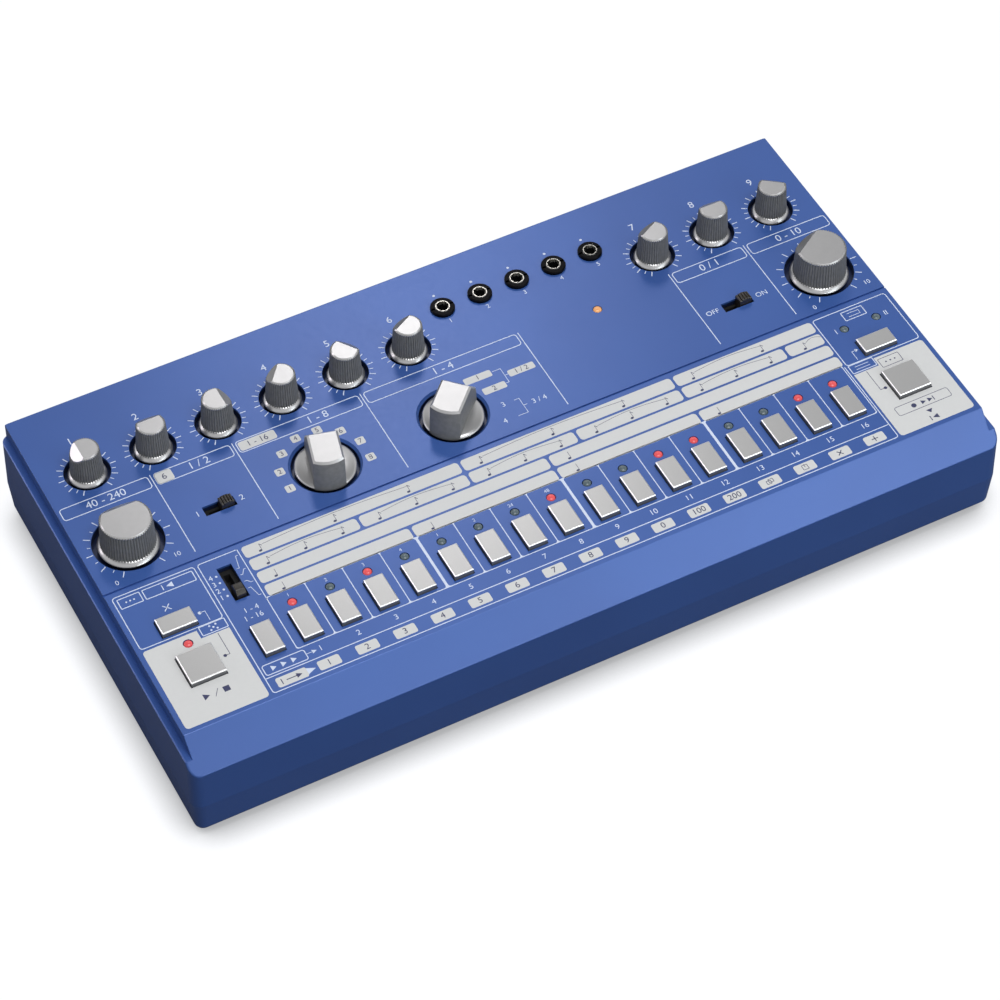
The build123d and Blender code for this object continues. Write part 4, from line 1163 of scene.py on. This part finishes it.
    def notes(self):
        """Plain notes on the bars, flagged and under curves on the upper two."""
        shapes = []
        for top, (splits, steps) in zip(BAR_TOPS, ROWS):
            flagged = top in BAR_TOPS[:2]
            for n in steps:
                x, y = STEP_XS[n - 1], top - 4.1
                turns = [radians(30 * k) for k in range(12)]
                head = [(x + 0.62 * cos(a) - 0.15 * sin(a), y + 0.42 * sin(a) + 0.15 * cos(a)) for a in turns]
                stem = x + 0.55
                shapes += [[head], [stroke([(stem, y + 0.1), (stem, y + 2.9)], 0.15)]]
                if flagged:
                    shapes.append([stroke([(stem, y + 2.85), (stem + 0.75, y + 1.9)], 0.22)])
            for low, high in zip((0, *splits), (*splits, 16)) if flagged else ():
                group = [n for n in steps if low < n <= high]
                x0, x1 = STEP_XS[group[0] - 1] + 1.6, STEP_XS[group[-1] - 1] + 0.4
                width = x1 - x0 if len(group) > 1 else 6.0
                points = [(x0 + width * k / 12, top - 1.7 + 1.1 * sin(pi * k / 12)) for k in range(13)]
                shapes.append([stroke(points, 0.14)])
        return shapes

    def signs(self, table):
        """Brackets, leads, dots, arrows and small signs from one table."""
        draw = {
            "fine": lambda points: [stroke(points, self.fine)],
            "line": lambda points: [stroke(points, self.line)],
            "arrow": lambda sign: [arrow(*sign)],
            "dot": lambda sign: [disc(*sign)],
            "frame": lambda sign: outlined(*sign[:4], self.fine, sign[4]),
            "outline": lambda points: [points],
        }
        return [draw[kind](sign) for kind, rows in table.items() for sign in rows]


# ---------------------------------------------------------------- stage
# Place, width and height in metres, power in watts and tint.
LAMPS = {
    "lamp_key": ((0.05, -0.5, 1.7), 1.0, 1.0, 21.5, (1.0, 1.0, 1.0)),
    "lamp_back": ((0.405, 0.955, 1.17), 0.24, 0.28, 1.5, (1.0, 0.98, 0.98)),
    "lamp_left": ((-1.15, 0.85, 0.45), 0.3, 0.3, 1.4, (1.0, 0.9, 0.97)),
    "lamp_front": ((0.8, -1.1, 0.8), 0.7, 0.36, 1.9, (0.88, 0.97, 1.0)),
    "lamp_edges": ((0.34, -1.32, 0.55), 0.9, 0.12, 2.8, (0.92, 0.98, 1.0)),
}


class DRUM_OT_stage(bpy.types.Operator):
    """Sets up the floor, the lamps, the world and the camera"""
    bl_idname = "drum.stage"
    bl_label = "Studio and camera"

    def execute(self, context):
        stage = context.scene.drum_stage
        clear_selection()
        bpy.ops.mesh.primitive_plane_add(size=12.0, location=(0, 0, 0))
        floor = context.object
        floor.name = "floor"
        floor.data.materials.append(self.paper(list(stage.floor)))
        self.world(context.scene)
        for name, settings in LAMPS.items():
            self.lamp(name, *settings)
        turn = (pi / 2 - stage.elevation, 0, -stage.azimuth)
        bpy.ops.object.camera_add(location=stage.place, rotation=turn)
        camera = context.object
        camera.data.sensor_width = 36.0
        camera.data.lens = stage.lens
        camera.data.clip_end = 50.0
        context.scene.camera = camera
        context.scene.view_settings.view_transform = "Standard"
        return {"FINISHED"}

    def paper(self, shade):
        """Pale paper; the lens sees it white, with a painted contact shadow from ambient occlusion and a
        little of the object's real shadow, while it throws little light back.
        """
        made, tree, surface = surfaced("Paper backdrop", roughness=0.9, specular_ior_level=0.1)
        seen = node(tree, "LightPath", out="Is Camera Ray")
        dim = node(tree, "MapRange", {"Value": noise(tree, 120.0), "To Min": 0.135, "To Max": 0.145})
        tones = node(tree, "Mix", {0: seen, 6: dim, 7: shade}, 2, data_type="RGBA")
        tree.links.new(tones, surface.inputs["Base Color"])
        # Painted shadow: ambient occlusion near the object dims the emission that the lens sees, to a bluish
        # grey next to the object.
        near = node(tree, "AmbientOcclusion", {"Distance": 0.014}, "AO", samples=16)
        fall = {"From Min": 0.4, "From Max": 0.86, "To Min": 0.45, "To Max": 1.06}
        shadow = node(tree, "MapRange", {"Value": near, **fall})
        glow = node(tree, "Emission", {"Color": (0.965, 0.975, 1.0, 1.0), "Strength": shadow})
        share = node(tree, "Math", {0: seen, 1: 0.95}, operation="MULTIPLY")
        blend = node(tree, "MixShader", {0: share, 1: surface.outputs[0], 2: glow})
        tree.links.new(blend, tree.nodes["Material Output"].inputs["Surface"])
        return made

    def world(self, scene):
        """Even soft light; lens, metal and glass see a surround that is white low down and dim overhead."""
        world = bpy.data.worlds.new("Studio")
        world.use_nodes = True
        scene.world = world
        tree = world.node_tree
        soft = tree.nodes["Background"]
        soft.inputs["Color"].default_value = (0.97, 0.98, 1.0, 1.0)
        soft.inputs["Strength"].default_value = 0.23
        height = node(tree, "SeparateXYZ", {0: node(tree, "TexCoord", out="Generated")}, 2)
        fall = {"From Min": 0.62, "From Max": 0.75, "To Min": 1.0, "To Max": 0.27}
        fade = node(tree, "MapRange", {"Value": height, **fall})
        white = node(tree, "Background", {"Color": (1.0, 1.0, 1.0, 1.0), "Strength": fade})
        glossy, clear, lens_ray = [
            node(tree, "LightPath", out=f"Is {kind} Ray") for kind in ("Glossy", "Transmission", "Camera")
        ]
        seen = node(tree, "Math", {0: glossy, 1: clear})
        seen = node(tree, "Math", {0: seen, 1: lens_ray}, use_clamp=True)
        blend = node(tree, "MixShader", {0: seen, 1: soft.outputs[0], 2: white})
        tree.links.new(blend, tree.nodes["World Output"].inputs["Surface"])

    def lamp(self, name, place, width, height, power, tint):
        """Soft box that faces the middle of the object."""
        bpy.ops.object.light_add(type="AREA", location=place)
        item = bpy.context.object
        item.name = name
        item.data.shape = "RECTANGLE"
        item.data.size = width
        item.data.size_y = height
        item.data.energy = power
        item.data.color = tint
        item.rotation_euler = (-Vector(place)).to_track_quat("-Z", "Y").to_euler()


class DRUM_PT_panel(bpy.types.Panel):
    """Lists the settings and the steps that dress the drum machine"""
    bl_idname = "DRUM_PT_panel"
    bl_label = "Drum Machine"
    bl_space_type = "VIEW_3D"
    bl_region_type = "UI"
    bl_category = "Drum Machine"

    def draw(self, context):
        for name in GROUPS:
            box = self.layout.box()
            settings = getattr(context.scene, name)
            for key in settings.__annotations__:
                box.prop(settings, key)
        for operator in OPERATORS:
            self.layout.operator(operator.bl_idname)


GROUPS = {
    "drum_casing": CasingSettings,
    "drum_print": PrintSettings,
    "drum_knob": KnobSettings,
    "drum_selector": SelectorSettings,
    "drum_button": ButtonSettings,
    "drum_light": LightSettings,
    "drum_stage": StageSettings,
}
OPERATORS = (
    DRUM_OT_casing,
    DRUM_OT_back,
    DRUM_OT_panel_sockets,
    DRUM_OT_knobs,
    DRUM_OT_selectors,
    DRUM_OT_buttons,
    DRUM_OT_sliders,
    DRUM_OT_lights,
    DRUM_OT_print,
    DRUM_OT_stage,
)


def register():
    """Registers the settings, the operators and the panel."""
    for name, group in GROUPS.items():
        bpy.utils.register_class(group)
        setattr(bpy.types.Scene, name, bpy.props.PointerProperty(type=group))
    for item in OPERATORS + (DRUM_PT_panel,):
        bpy.utils.register_class(item)


def unregister():
    """Takes the settings, the operators and the panel away again."""
    for item in (DRUM_PT_panel,) + OPERATORS[::-1]:
        bpy.utils.unregister_class(item)
    for name, group in GROUPS.items():
        delattr(bpy.types.Scene, name)
        bpy.utils.unregister_class(group)


def main():
    """Dresses the whole object."""
    register()
    for operator in OPERATORS:
        group, step = operator.bl_idname.split(".")
        getattr(getattr(bpy.ops, group), step)()


if __name__ == "__main__":
    main()
